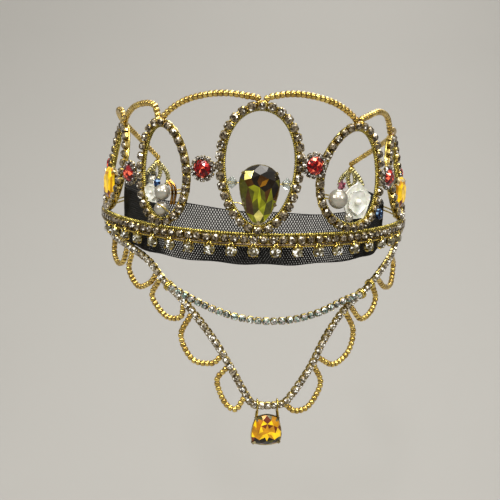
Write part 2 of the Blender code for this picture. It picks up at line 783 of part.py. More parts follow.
def add_cut_stone(mesh, place, frame, outline, levels):
    """Rings of an outline, each a share of its size at a level, skinned and closed."""
    across, up, out = frame
    rings = []
    for share, level in levels:
        middle = place + out * level
        ring = [middle + (across * x + up * y) * share for x, y in outline]
        rings.append([mesh.verts.new(point) for point in ring])
    join_rings(mesh, rings)


def pear_outline():
    """Points of a drop with its point down, about the middle of its round part."""
    points = []
    for k in range(PEAR_SIDES):
        turn = 2 * pi * k / PEAR_SIDES - pi / 2
        drop = (1 - sin(turn)) / 2
        part = 1 - PEAR_BELOW if sin(turn) > 0 else PEAR_BELOW
        x = PEAR_WIDTH / 2 * cos(turn) * (1 - PEAR_TAPER * drop**2)
        points.append((x, PEAR_HEIGHT * part * sin(turn)))
    return points


def make_pear(materials, parent):
    mesh = bmesh.new()
    frame = frame_at(PEAR_ANGLE)
    place = ring_point(PEAR_ANGLE, PEAR_FOOT + PEAR_BELOW * PEAR_HEIGHT, PEAR_OUT)
    add_cut_stone(mesh, place, frame, pear_outline(), PEAR_CUT)
    return finish_object("pear_stone", mesh, materials["olive_stone"], parent)


def make_bicone(name, side, material, parent):
    """A bicone bead on the thin wire that runs from the pear stone to the loop."""
    degree = radians(1) * ring_radius(0)
    inner = PEAR_WIDTH / 2 + GAP
    outer = loop_inside("loop_centre", BICONE_HEIGHT) - GAP
    middle = (inner + outer) / 2
    mesh = bmesh.new()
    rings = []
    steps = (
        (inner, BICONE_WIRE_RADIUS),
        (middle - BICONE_HALF_LENGTH - 0.1, BICONE_WIRE_RADIUS),
        (middle - BICONE_HALF_LENGTH, BICONE_HOLE_RADIUS),
        (middle, BICONE_RADIUS),
        (middle + BICONE_HALF_LENGTH, BICONE_HOLE_RADIUS),
        (middle + BICONE_HALF_LENGTH + 0.1, BICONE_WIRE_RADIUS),
        (outer, BICONE_WIRE_RADIUS),
    )
    for along, radius in steps:
        angle = PEAR_ANGLE + side * along / degree
        place = ring_point(angle, BICONE_HEIGHT, BICONE_OUT)
        out = ring_normal(angle)
        turns = [2 * pi * k / 8 for k in range(8)]
        up = Vector((0, 0, 1))
        rings.append([mesh.verts.new(place + radius * (cos(t) * out + sin(t) * up)) for t in turns])
    join_rings(mesh, rings)
    return finish_object(name, mesh, material, parent)


def make_octagon(name, loop, material, parent):
    """A long octagon across a side loop, on two short ties."""
    angle, _, top, _, tip, _ = LOOPS[loop]
    frame = frame_at(angle)
    mesh = bmesh.new()
    x, y = OCTAGON_WIDTH / 2, OCTAGON_HEIGHT / 2
    cut = OCTAGON_CORNER * x
    outline = [
        (x, y - cut),
        (x - cut, y),
        (cut - x, y),
        (-x, y - cut),
        (-x, cut - y),
        (cut - x, -y),
        (x - cut, -y),
        (x, cut - y),
    ]
    out = OCTAGON_OUT - tip * (OCTAGON_MIDDLE / top) ** 1.5
    add_cut_stone(mesh, ring_point(angle, OCTAGON_MIDDLE, out), frame, outline, OCTAGON_CUT)
    made = finish_object(name, mesh, material, parent)
    bar = bmesh.new()
    level = OCTAGON_MIDDLE + OCTAGON_TIE_RISE
    reach = degrees((loop_inside(loop, level) - GAP) / ring_radius(angle))
    line = [ring_point(angle + share * reach, level, out) for share in (-1, -0.5, 0, 0.5, 1)]
    add_tube(bar, line, OCTAGON_TIE_RADIUS, 6)
    unite(made, finish_object(name + "_tie", bar, material, None))
    return made


def make_pearl(name, angle, height, out, radius, material, parent):
    mesh = bmesh.new()
    bmesh.ops.create_uvsphere(mesh, u_segments=10, v_segments=6, radius=radius)
    bmesh.ops.translate(mesh, verts=mesh.verts, vec=ring_point(angle, height, out))
    return finish_object(name, mesh, material, parent)


def make_flower(name, angle, height, out, radius, material, parent):
    """A flat carved flower."""
    outline = []
    for k in range(4 * FLOWER_PETALS):
        turn = 2 * pi * k / (4 * FLOWER_PETALS)
        share = 1 - FLOWER_NOTCH * (1 - cos(FLOWER_PETALS * turn))
        outline.append((radius * share * cos(turn), radius * share * sin(turn)))
    mesh = bmesh.new()
    add_cut_stone(mesh, ring_point(angle, height, out), frame_at(angle), outline, FLOWER_CUT)
    return finish_object(name, mesh, material, parent)


def make_small_stone(name, angle, height, out, width, length, material, parent):
    """A small eight-sided stone."""
    turns = [pi * (k + 0.5) / 4 for k in range(8)]
    outline = [(width / 2 * cos(t), length / 2 * sin(t)) for t in turns]
    mesh = bmesh.new()
    add_cut_stone(mesh, ring_point(angle, height, out), frame_at(angle), outline, SMALL_CUT)
    return finish_object(name, mesh, material, parent)


def make_bronze_bead(material, parent):
    mesh = bmesh.new()
    line = smooth([ring_point(*place) for place in BRONZE_BEAD], 2 * BRONZE_RADIUS)
    add_tube(mesh, line, BRONZE_RADIUS, 8)
    return finish_object("bronze_bead_left", mesh, material, parent)


def make_clusters(materials, parent):
    """The pearls, carved flowers and small stones in the two front side loops."""
    for name, place in PEARLS.items():
        make_pearl(name, *place, materials["pearl"], parent)
    for name, place in FLOWERS.items():
        make_flower(name, *place, materials["shell"], parent)
    for name, (*place, material) in SMALL_STONES.items():
        make_small_stone(name, *place, materials[material], parent)
    make_bronze_bead(materials["bronze_bead"], parent)


def pendant_outline():
    """A square with bowed sides and round corners."""
    points = []
    for k in range(16):
        turn = 2 * pi * (k + 0.5) / 16
        reach = PENDANT_WIDTH / 2 / max(abs(cos(turn)), abs(sin(turn))) ** PENDANT_SQUARENESS
        points.append((reach * cos(turn), reach * sin(turn)))
    return points


def make_pendant(materials, hinge):
    """The cushion stone in its setting, on two wire ties that loop round the chain."""
    mesh = bmesh.new()
    frame = (Vector((1, 0, 0)), Vector((0, 0, 1)), Vector((0, -1, 0)))
    place = Vector((0, -PENDANT_OUT, -PENDANT_DROP))
    add_cut_stone(mesh, place, frame, pendant_outline(), PENDANT_CUT)
    made = finish_object("pendant", mesh, materials["amber_stone"], hinge)
    for side, word in ((-1, "left"), (1, "right")):
        x = side * PENDANT_TIE_SPREAD
        turns = [2 * pi * k / 10 for k in range(10)]
        ring = [Vector((x, BAIL_RADIUS * sin(t), BAIL_RADIUS * cos(t))) for t in turns]
        tie = bmesh.new()
        add_closed_tube(tie, ring, PENDANT_TIE_RADIUS, 6)
        bail = finish_object("pendant_bail_" + word, tie, materials["gold_wire"], hinge)
        unite(made, bail)
        stem_top = Vector((x, 0, 0.1 - BAIL_RADIUS))
        stem_foot = place + Vector((x, 0, PENDANT_WIDTH / 2 * PENDANT_STEM_REACH))
        stem = bmesh.new()
        add_tube(stem, [stem_top, stem_foot], PENDANT_STEM_RADIUS, 6)
        unite(made, finish_object("pendant_stem_" + word, stem, materials["gold_wire"], hinge))
    return made


def main():
    clear_scene()
    materials = make_materials()
    tiara = add_empty("tiara")
    gold, clear = materials["gold_wire"], materials["clear_stone"]
    beads = materials["gold_beads"]
    make_base(clear, tiara)
    make_crystal_row(clear, tiara)
    for name in LOOPS:
        make_loop(name, clear, tiara)
    for name in ROSETTES:
        make_rosette(name, materials["red_stone"], tiara)
    make_leaf_loops("leaf_loops_left", -1, gold, tiara)
    make_leaf_loops("leaf_loops_right", 1, gold, tiara)
    for name in ARCHES:
        make_arch(name, beads, tiara)
    make_net(materials["black_net"], tiara)
    make_pear(materials, tiara)
    make_bicone("bicone_left", -1, clear, tiara)
    make_bicone("bicone_right", 1, clear, tiara)
    make_octagon("octagon_left", "loop_side_left", materials["amber_stone"], tiara)
    make_octagon("octagon_right", "loop_side_right", materials["amber_stone"], tiara)
    make_clusters(materials, tiara)
    make_v_chain(clear, tiara)
    make_swag(materials["tinted_stone"], tiara)
    for name in SCALLOPS:
        make_scallop(name, beads, tiara)
    level = chain_height(PENDANT_ANGLE)
    ends = [brow_point(PENDANT_ANGLE + s * PENDANT_TIE_ANGLE, level) for s in (-1, 1)]
    hinge = add_empty("pendant_hinge", (ends[0] + ends[1]) / 2, tiara)
    hinge.rotation_euler.z = atan2(ends[1].y - ends[0].y, ends[1].x - ends[0].x)
    make_pendant(materials, hinge)


main()
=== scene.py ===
"""The looks of a ballet tiara: stone-set loops and base, bead arches, net band and brow drape.

Sizes are millimetres and angles are degrees round the ring, 0 in front and positive to +X, as in
the part's source. MM turns them into metres when a mesh is made. The stones, cups and beads of
the chains and strings are placed along paths by Geometry Nodes. A stone or cup has its own Z
facing out of the ring and its own X along its chain.
"""

import json
import math
import random
from functools import partial
from math import cos, hypot, pi, radians, sin

import bmesh
import bpy
from mathutils import Matrix, Vector

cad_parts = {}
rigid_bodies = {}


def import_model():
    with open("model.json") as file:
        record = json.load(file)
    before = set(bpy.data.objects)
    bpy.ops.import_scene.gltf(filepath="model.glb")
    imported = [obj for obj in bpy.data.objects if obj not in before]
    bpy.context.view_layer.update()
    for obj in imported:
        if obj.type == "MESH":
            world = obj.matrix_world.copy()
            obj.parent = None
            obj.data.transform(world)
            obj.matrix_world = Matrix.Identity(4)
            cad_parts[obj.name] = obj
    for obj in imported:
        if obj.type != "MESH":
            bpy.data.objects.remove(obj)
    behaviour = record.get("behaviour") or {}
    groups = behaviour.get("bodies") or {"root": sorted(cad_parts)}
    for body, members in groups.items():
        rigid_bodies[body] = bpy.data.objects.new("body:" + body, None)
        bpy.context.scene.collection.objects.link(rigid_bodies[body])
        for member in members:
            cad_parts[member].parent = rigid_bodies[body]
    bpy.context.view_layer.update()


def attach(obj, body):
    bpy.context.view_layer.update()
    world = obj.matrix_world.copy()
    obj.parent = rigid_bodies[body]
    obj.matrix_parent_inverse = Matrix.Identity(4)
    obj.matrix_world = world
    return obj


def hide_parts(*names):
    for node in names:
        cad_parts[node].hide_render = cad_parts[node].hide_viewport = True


MM = 0.001
UP = Vector((0, 0, 1))

# The ring, its base and the loops, as in the part's source
RING_HALF_WIDTH = 75.5
RING_HALF_DEPTH = 80.5
RING_LEAN = 0.0011
RING_END = 148
BASE_HEIGHT = 4.0
BASE_MIDDLE = 0.5
BASE_STONES_END = 96
BASE_CUPS_OUT = -0.2
GAP = 0.35
WIRE_HEIGHT = 2.2
CRYSTAL_HEIGHT = -4.15
CRYSTAL_STEP = 7.0
CRYSTAL_LAST = 9
LOOP_WIDTH = 3.6
LOOP_CUPS_SIDE = 0.3
# Sideways and out from the loop line
LOOP_WRAP_SHIFT = (-1.35, -0.6)
LOOP_WIRE_SHIFTS = ((-0.2, -1.25), (0.9, -1.25))
LOOP_FOOT = BASE_MIDDLE + BASE_HEIGHT / 2 + GAP
LOOPS = {
    # name: (angle, width, top height, share wider above than below, how far the top tips in,
    #        how far the top leans to the right)
    "loop_centre": (1.2, 37.0, 57.7, 0.10, 0.0, 0.0),
    "loop_front_left": (-33.2, 29.6, 48.9, -0.05, 0.5, -4.0),
    "loop_front_right": (35.2, 39.6, 50.0, -0.10, 0.5, 4.2),
    "loop_side_left": (-69.6, 31.0, 44.8, 0.03, 4.5, 0.0),
    "loop_side_right": (71.0, 30.4, 43.6, 0.03, 4.0, 0.0),
}
ROSETTES = {
    # name: (angle, height, out)
    "rosette_front_left": (-17.8, 29.0, -0.6),
    "rosette_front_right": (18.4, 32.2, 2.7),
    "rosette_side_left": (-49.9, 23.5, -0.8),
    "rosette_side_right": (54.8, 25.0, -0.8),
    "rosette_back_left": (-84.8, 22.5, -2.4),
    "rosette_back_right": (86.4, 22.5, -2.4),
}
HALO_RADIUS = 4.6
HALO_OUT = 1.1
HALO_COUNT = 12
ROSETTE_STONE_RADIUS = 3.75
LEAF_ANGLE = 131
LEAF_SPREAD = 6.4
LEAF_LENGTH = 15.6
LEAF_WIDTH = 8.4
LEAF_FOOT = BASE_MIDDLE + WIRE_HEIGHT / 2 + GAP + 1.2
ARCH_FOOT = 1.6
ARCH_BESIDE = 2.4
ARCHES = {
    # name: (loop it leaves, loop it reaches, rise, where along it peaks: 1 is the middle,
    #        how soon it swings out of its loop's tip)
    "arch_front_left": ("loop_centre", "loop_front_left", 5.0, 1.2, 1.0),
    "arch_front_right": ("loop_centre", "loop_front_right", 4.9, 1.05, 1.0),
    "arch_side_left": ("loop_front_left", "loop_side_left", 5.4, 0.6, 1.0),
    "arch_side_right": ("loop_front_right", "loop_side_right", 6.0, 1.3, 1.0),
    "arch_back_left": ("loop_side_left", None, 9.5, 0.75, 2.6),
    "arch_back_right": ("loop_side_right", None, 4.5, 0.9, 1.0),
}
BROW_HALF_WIDTH = 73.0
BROW_HALF_DEPTH = 81.0
BROW_OUT = -0.9
BROW_JOINS = (-9.0, -3.0)
V_CHAIN = (
    # angle, height
    (-71.0, -3.4), (-67.5, -6.6), (-62.0, -8.8), (-50.0, -10.2), (-39.0, -14.2),
    (-32.0, -21.5), (-22.4, -30.5), (-11.0, -47.0), (0.0, -69.9), (2.6, -73.0),
    (10.9, -73.0), (14.4, -70.1), (21.4, -57.4), (27.2, -43.6), (35.0, -32.0),
    (46.0, -24.5), (60.0, -15.8), (68.0, -12.4), (73.0, -8.0), (75.5, -3.4),
)
SWAG_ENDS = (-30.0, 43.0)
SWAG_SAG = 10.9
SWAG_ROUND = 1.3
SWAG_RISES = (-0.2, 2.0)
SWAG_REACH = 1.6
SCALLOPS = {
    # name: start angle on the chain, three (angle, height) it passes, end angle on the chain
    "scallop_left_1": (-63.5, (-65.0, -17.0), (-60.5, -20.5), (-55.5, -18.5), -52.0),
    "scallop_left_2": (-48.5, (-51.0, -21.0), (-45.0, -27.2), (-38.6, -24.0), -35.0),
    "scallop_left_3": (-33.5, (-37.4, -30.0), (-31.0, -37.4), (-25.0, -36.6), -23.5),
    "scallop_left_4": (-20.5, (-24.6, -45.0), (-20.0, -54.8), (-13.0, -55.4), -9.0),
    "scallop_left_5": (-7.0, (-10.9, -63.0), (-8.0, -72.5), (-4.2, -75.6), -0.6),
    "scallop_right_5": (12.0, (16.8, -76.6), (22.0, -74.8), (26.2, -65.2), 22.6),
    "scallop_right_4": (23.6, (31.2, -57.2), (37.8, -52.7), (39.8, -43.2), 34.8),
    "scallop_right_3": (37.0, (43.5, -38.6), (49.5, -36.8), (52.6, -31.0), 49.0),
    "scallop_right_2": (52.0, (60.0, -27.6), (69.0, -28.6), (73.0, -20.0), 66.0),
}
PEAR_ANGLE = 1.2
PEAR_WIDTH = 18.0
PEAR_HEIGHT = 25.0
PEAR_FOOT = 6.9
PEAR_OUT = 1.0
PEAR_BELOW = 0.64
PEAR_TAPER = 0.30
BICONE_HEIGHT = 24.0
BICONE_OUT = 0.6
BICONE_ALONG = 11.9
BICONE_PROFILE = ((-2.3, 0.6), (-2.0, 1.0), (0, 2.75), (2.0, 1.0), (2.3, 0.6))  # along, radius
OCTAGON_WIDTH = 12.0
OCTAGON_HEIGHT = 15.5
OCTAGON_MIDDLE = 15.6
OCTAGON_OUT = 0.4
OCTAGON_TURN = 9.0  # how far an octagon has turned to the front
PEARLS = {
    # name: (angle, height, out, radius)
    "pearl_left_top": (-38.3, 21.95, -0.6, 1.7),
    "pearl_left_middle": (-32.1, 17.6, 1.4, 3.3),
    "pearl_left_low": (-32.2, 10.4, 1.2, 2.9),
    "pearl_right_big": (27.6, 17.8, 2.4, 4.0),
    "pearl_right_small": (32.6, 9.5, 1.2, 1.9),
}
FLOWERS = {
    # name: (angle, height, out, radius)
    "flower_left": (-37.55, 16.6, -0.9, 4.15),
    "flower_right": (36.6, 15.8, -0.3, 7.2),
}
BRONZE_BEAD = (
    # angle, height, out
    (-31.0, 22.4, 0.6),
    (-28.9, 20.4, 0.8),
    (-28.3, 17.0, 0.8),
    (-29.0, 12.6, 0.4),
)
NET_HALF_WIDTH = 66.0
NET_HALF_DEPTH = 78.0
NET_END = 122
NET_INWARDS = 0.5
NET_FOLD_INWARDS = 1.1
NET_FOLD_TOP = -1.5
PENDANT_ANGLE = 6.75
PENDANT_TIE_ANGLE = 3.4
PENDANT_WIDTH = 14.0
PENDANT_DROP = 12.2
PENDANT_TIE_RADIUS = 2.45

# Pitches of the real chains and strings
LOOP_PITCH = 4.3
BASE_PITCH = 4.1
ROPE_PITCH = 1.18
WRAP_PITCH = 0.86
V_PITCH = 2.95
SWAG_PITCH = 3.45
LEAF_PITCH = 1.75
ARCH_PITCH = 2.26
ARCH_BEAD = 1.46
SCALLOP_PITCH = 2.08
SCALLOP_BEAD = 1.34
NET_CELL = 1.34
NET_CELL_HEIGHT = 1.95
NET_THREAD = 0.255

# Radii of the wires
CRYSTAL_TIE_RADIUS = 0.42
LOOP_WIRE_RADIUS = 0.62
BICONE_WIRE_RADIUS = 0.22
OCTAGON_TIE_RADIUS = 0.3
LINK_RADIUS = 0.4
WRAP_RADIUS = 0.5
PENDANT_WIRE_RADIUS = 0.36

# The camera, fitted to the photograph
VIEW_AZIMUTH = -0.25
VIEW_ELEVATION = 11.29
VIEW_ROLL = 2.086
VIEW_DISTANCE = 430.0
VIEW_TARGET = (-1.07, 0.0, -20.15)
FOCAL_PIXELS = 823.6
FRAME_PIXELS = 500

# The room's light by height: 0 straight below, 0.5 level, 1 straight above
ROOM_SHADES = ((0.02, 0.45), (0.40, 0.30), (0.47, 0.07), (0.60, 0.10), (0.70, 0.75), (0.98, 1.0))
LAMPS = (
    # name, place in metres, size, power, colour
    ("top", (0.10, -0.25, 0.95), 0.5, 8.0, (1.0, 0.97, 0.92)),
    ("left", (-0.75, -0.55, 0.55), 0.22, 4.0, (1.0, 0.98, 0.95)),
    ("right", (0.70, -0.75, 0.45), 0.16, 2.5, (1.0, 0.98, 0.95)),
    ("spark", (-0.15, -0.95, 0.75), 0.08, 2.0, (1.0, 1.0, 1.0)),
    ("back", (0.2, 0.45, 0.6), 0.4, 3.0, (1.0, 1.0, 1.0)),
)
PAPER = (0.352, 0.341, 0.321)

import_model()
shelf = bpy.data.collections.new("elements")
bpy.context.scene.collection.children.link(shelf)


# Places and lines


def oval_point(half_width, half_depth, turn, height, out):
    normal = Vector((half_depth * sin(turn), -half_width * cos(turn), 0)).normalized()
    return Vector((half_width * sin(turn), -half_depth * cos(turn), height)) + normal * out


def ring_point(angle, height, out=0.0):
    share = 1 - RING_LEAN * height
    half_width, half_depth = RING_HALF_WIDTH * share, RING_HALF_DEPTH * share
    return oval_point(half_width, half_depth, radians(angle), height, out)


def ring_normal(angle):
    return (ring_point(angle, 0, 1) - ring_point(angle, 0)).normalized()


def ring_line(angles, height, out=0.0):
    """A line of (point, out) round the ring."""
    return [(ring_point(angle, height, out), ring_normal(angle)) for angle in angles]


def degrees_for(length, angle):
    """The angle that a length along the ring takes up at an angle."""
    turn = radians(angle)
    return math.degrees(length / hypot(RING_HALF_WIDTH * cos(turn), RING_HALF_DEPTH * sin(turn)))


def frame_at(angle):
    """Right, up and out directions of something that faces out of the ring."""
    out = ring_normal(angle)
    return UP.cross(out), UP, out


def brow_point(angle, height):
    rest = oval_point(BROW_HALF_WIDTH, BROW_HALF_DEPTH, radians(angle), height, 0)
    low, high = BROW_JOINS
    share = min(1.0, max(0.0, (height - low) / (high - low)))
    return rest.lerp(ring_point(angle, height, BROW_OUT), share)


def brow_out(point):
    """The way out of the brow or the ring at a point."""
    turn = math.atan2(point.x / RING_HALF_WIDTH, -point.y / RING_HALF_DEPTH)
    return ring_normal(math.degrees(turn))


def with_out(points):
    return [(point, brow_out(point)) for point in points]


def points_of(line):
    return [point for point, _ in line]


def shift(line, side=0.0, out=0.0):
    """A line of (point, out) moved sideways and outwards."""
    moved = []
    for k, (point, normal) in enumerate(line):
        ahead = line[(k + 1) % len(line)][0] - line[k - 1][0]
        across = ahead.normalized().cross(normal)
        moved.append((point + across * side + normal * out, normal))
    return moved


def spread(end, steps):
    """Angles from -end to end in even steps."""
    return [end * (2 * k / steps - 1) for k in range(steps + 1)]


def smooth(points, spacing):
    """Points about spacing apart on a smooth curve through the points given."""
    points = [Vector(p) for p in points]
    padded = [2 * points[0] - points[1], *points, 2 * points[-1] - points[-2]]
    fine = []
    for before, start, end, after in zip(padded, padded[1:], padded[2:], padded[3:]):
        for step in range(12):
            t = step / 12
            bend = 2 * before - 5 * start + 4 * end - after
            twist = 3 * start - before - 3 * end + after
            fine.append(0.5 * (2 * start + (end - before) * t + bend * t**2 + twist * t**3))
    fine.append(points[-1])
    return even(fine, spacing)


def even(line, spacing):
    """The line again with points about spacing apart, its two ends kept."""
    lengths = [(b - a).length for a, b in zip(line, line[1:])]
    count = max(2, math.ceil(sum(lengths) / spacing))
    step = sum(lengths) / count
    found = [line[0].copy()]
    walked = 0.0
    for start, end, length in zip(line, line[1:], lengths):
        while len(found) < count and walked + length >= step * len(found):
            found.append(start.lerp(end, (step * len(found) - walked) / length))
        walked += length
    found.append(line[-1].copy())
    return found


def length_of(points, closed):
    ends = points[1:] + points[:1] if closed else points[1:]
    return sum((b - a).length for a, b in zip(points, ends))


# Node trees


def open_tree(kind, name, inputs, outputs):
    """A tree with named inputs, each (type, default), a maker of its nodes, and its two ends."""
    tree = bpy.data.node_groups.new(name, kind)
    sockets = tree.interface
    for label, (socket, default) in inputs.items():
        made = sockets.new_socket(label, in_out="INPUT", socket_type="NodeSocket" + socket)
        if default is not None:
            made.default_value = default
    for label, socket in outputs.items():
        sockets.new_socket(label, in_out="OUTPUT", socket_type="NodeSocket" + socket)
    given = tree.nodes.new("NodeGroupInput").outputs
    return tree, partial(put, tree), given, tree.nodes.new("NodeGroupOutput")


def fill(tree, node, inputs):
    """Gives a node its inputs, as values or as sockets to link from."""
    for key, value in inputs.items():
        if isinstance(value, bpy.types.NodeSocket):
            tree.links.new(value, node.inputs[key])
        else:
            node.inputs[key].default_value = value
    return node.outputs


def put(tree, kind, inputs, output=0, **settings):
    """Adds a node with its settings and inputs, and gives one of its outputs."""
    node = tree.nodes.new(kind)
    for key, value in settings.items():
        setattr(node, key, value)
    return fill(tree, node, inputs)[output]


def make_string_tree():
    """Elements along a path: Z to the path's out attribute, X along it."""
    inputs = {
        "Geometry": ("Geometry", None),
        "Count": ("Int", 10),
        "Element": ("Object", None),
        "Material": ("Material", None),
        "Size": ("Float", 1.0),
        "Uneven": ("Float", 0.03),
        "Wobble": ("Float", 0.05),
        "Seed": ("Int", 1),
    }
    tree, add, given, result = open_tree(
        "GeometryNodeTree", "set_along_path", inputs, {"Geometry": "Geometry"}
    )
    uneven, wobble, seed = given["Uneven"], given["Wobble"], given["Seed"]
    curve = add("GeometryNodeMeshToCurve", {0: given["Geometry"]})
    stops = add("GeometryNodeResampleCurve", {"Curve": curve, "Count": given["Count"]})
    out = add(
        "GeometryNodeInputNamedAttribute", {"Name": "out"}, "Attribute", data_type="FLOAT_VECTOR"
    )
    align = "FunctionNodeAlignRotationToVector"
    facing = add(align, {"Vector": out}, axis="Z")
    along = {"Rotation": facing, "Vector": add("GeometryNodeInputTangent", {})}
    turned = add(align, along, axis="X", pivot_axis="Z")
    less = add("ShaderNodeMath", {0: wobble, 1: -1.0}, operation="MULTIPLY")
    draw = "FunctionNodeRandomValue"
    sway = add(draw, {"Min": less, "Max": wobble, "Seed": seed}, data_type="FLOAT_VECTOR")
    swayed = {"Rotation": turned, "Rotate By": add("FunctionNodeEulerToRotation", {0: sway})}
    rotation = add("FunctionNodeRotateRotation", swayed, rotation_space="LOCAL")
    least = add("ShaderNodeMath", {0: 1.0, 1: uneven}, operation="SUBTRACT")
    most = add("ShaderNodeMath", {0: 1.0, 1: uneven}, operation="ADD")
    share = add(draw, {2: least, 3: most, "Seed": seed}, 1, data_type="FLOAT")
    size = add("ShaderNodeMath", {0: share, 1: given["Size"]}, operation="MULTIPLY")
    element = add("GeometryNodeObjectInfo", {"Object": given["Element"]}, "Geometry")
    shape = add(
        "GeometryNodeInstanceOnPoints",
        {"Points": stops, "Instance": element, "Rotation": rotation, "Scale": size},
    )
    for name, domain in (("lot", "INSTANCE"), ("spark", "FACE")):
        if domain == "FACE":
            shape = add("GeometryNodeRealizeInstances", {0: shape})
        value = add(draw, {"Seed": seed}, 1, data_type="FLOAT")
        stored = {"Geometry": shape, "Name": name, "Value": value}
        shape = add("GeometryNodeStoreNamedAttribute", stored, data_type="FLOAT", domain=domain)
    dressed = {"Geometry": shape, "Material": given["Material"]}
    fill(tree, result, {0: add("GeometryNodeSetMaterial", dressed)})
    return tree


def make_wire_tree():
    """A round wire along each line of the path."""
    inputs = {
        "Geometry": ("Geometry", None),
        "Radius": ("Float", 0.0005),
        "Sides": ("Int", 8),
        "Material": ("Material", None),
    }
    tree, add, given, result = open_tree(
        "GeometryNodeTree", "wire_along_path", inputs, {"Geometry": "Geometry"}
    )
    curve = add("GeometryNodeMeshToCurve", {0: given["Geometry"]})
    round_sizes = {"Resolution": given["Sides"], "Radius": given["Radius"]}
    profile = add("GeometryNodeCurvePrimitiveCircle", round_sizes, mode="RADIUS")
    sweep = {"Curve": curve, "Profile Curve": profile, "Fill Caps": True}
    swept = add("GeometryNodeCurveToMesh", sweep)
    rounded = add("GeometryNodeSetShadeSmooth", {"Geometry": swept})
    real = add("GeometryNodeRealizeInstances", {0: rounded})
    dressed = {"Geometry": real, "Material": given["Material"]}
    fill(tree, result, {0: add("GeometryNodeSetMaterial", dressed)})
    return tree


STRING_TREE = make_string_tree()
WIRE_TREE = make_wire_tree()


def make_path(lines, closed):
    """An object of plain lines, each a list of (point, out) in millimetres."""
    mesh = bpy.data.meshes.new("path")
    points, edges, outs = [], [], []
    for line in lines:
        first = len(points)
        points += [point * MM for point, _ in line]
        outs += [out for _, out in line]
        edges += [(k, k + 1) for k in range(first, len(points) - 1)]
        if closed:
            edges.append((len(points) - 1, first))
    mesh.from_pydata(points, edges, [])
    attribute = mesh.attributes.new("out", "FLOAT_VECTOR", "POINT")
    attribute.data.foreach_set("vector", [x for out in outs for x in out])
    made = bpy.data.objects.new("path", mesh)
    shelf.objects.link(made)
    return made


def finish_path(name, path, tree, values, **dress):
    """Runs a tree on a path and keeps the result as a plain mesh."""
    modifier = path.modifiers.new("grow", "NODES")
    modifier.node_group = tree
    sockets = {s.name: s.identifier for s in tree.interface.items_tree if s.in_out == "INPUT"}
    for key, value in values.items():
        modifier[sockets[key]] = value
    bpy.context.view_layer.update()
    graph = bpy.context.evaluated_depsgraph_get()
    mesh = bpy.data.meshes.new_from_object(path.evaluated_get(graph))
    bpy.data.objects.remove(path, do_unlink=True)
    return show(name, mesh, values["Material"], **dress)


def show(name, mesh, material, body="tiara", slot=None, replaces=None):
    """Links a finished mesh as a piece on a body, in place of a solid where it replaces one."""
    mesh.name = name
    made = bpy.data.objects.new(name, mesh)
    bpy.context.scene.collection.objects.link(made)
    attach(made, body)
    if replaces:
        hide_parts(replaces)
    return made


def set_along(
    name, line, element, material, pitch=None, count=None, closed=False, replaces=None, **settings
):
    """A chain or a string: elements set along one line of (point, out)."""
    if count is None:
        count = round(length_of(points_of(line), closed) / pitch) + (0 if closed else 1)
    values = {"Count": count, "Element": element, "Material": material}
    values.update({"Size": 1.0, "Seed": 1, "Wobble": 0.05, "Uneven": 0.03})
    values.update({key.capitalize(): value for key, value in settings.items()})
    path = make_path([line], closed)
    return finish_path(name, path, STRING_TREE, values, replaces=replaces)


def wire_along(name, lines, radius, material, sides=8, closed=False, **dress):
    """Round wires along plain lines of points."""
    path = make_path([[(point, UP) for point in line] for line in lines], closed)
    values = {"Radius": radius * MM, "Sides": sides, "Material": material}
    return finish_path(name, path, WIRE_TREE, values, **dress)


# Materials


def start_material(name, slot, colour, metallic, roughness, **sockets):
    """A material, its tree and its shader. Its slot is not used."""
    made = bpy.data.materials.new(name)
    made.use_nodes = True
    shader = made.node_tree.nodes["Principled BSDF"]
    values = {"Base Color": (*colour, 1.0), "Metallic": metallic, "Roughness": roughness}
    values.update({key.replace("_", " "): value for key, value in sockets.items()})
    fill(made.node_tree, shader, values)
    return made, made.node_tree, shader


def mix_colour(tree, share, first, second):
    return put(tree, "ShaderNodeMix", {0: share, 6: first, 7: second}, 2, data_type="RGBA")


def cloud_of(tree, scale, detail):
    """A soft noise through the piece's own space."""
    place = put(tree, "ShaderNodeTexCoord", {}, "Object")
    return put(tree, "ShaderNodeTexNoise", {"Vector": place, "Scale": scale, "Detail": detail})


def stretch(tree, value, low, high, to_low=0.0, to_high=1.0):
    ends = {"From Min": low, "From Max": high, "To Min": to_low, "To Max": to_high}
    return put(tree, "ShaderNodeMapRange", {"Value": value, **ends})


def own(tree, name, output="Fac"):
    """One of the piece's own attributes."""
    return put(tree, "ShaderNodeAttribute", {}, output, attribute_name=name)


def use_group(tree, group, values):
    node = tree.nodes.new("ShaderNodeGroup")
    node.node_tree = group
    return fill(tree, node, values)


def make_patina_group():
    """Gilt that is bright on its high places and browner in patches and hollows."""
    inputs = {
        "Bright": ("Color", (1, 1, 1, 1)),
        "Dark": ("Color", (0, 0, 0, 1)),
        "Grain": ("Float", 900.0),
        "Roughness": ("Float", 0.25),
    }
    outputs = {"Color": "Color", "Roughness": "Float", "Height": "Float"}
    group, add, given, result = open_tree("ShaderNodeTree", "gilt_patina", inputs, outputs)
    patches = cloud_of(group, given["Grain"], 3.0)
    share = stretch(group, patches, 0.38, 0.62)
    colour = mix_colour(group, share, given["Dark"], given["Bright"])
    worn = {0: share, 1: -0.12, 2: given["Roughness"]}
    rough = add("ShaderNodeMath", worn, operation="MULTIPLY_ADD")
    fill(group, result, {"Color": colour, "Roughness": rough, "Height": patches})
    return group


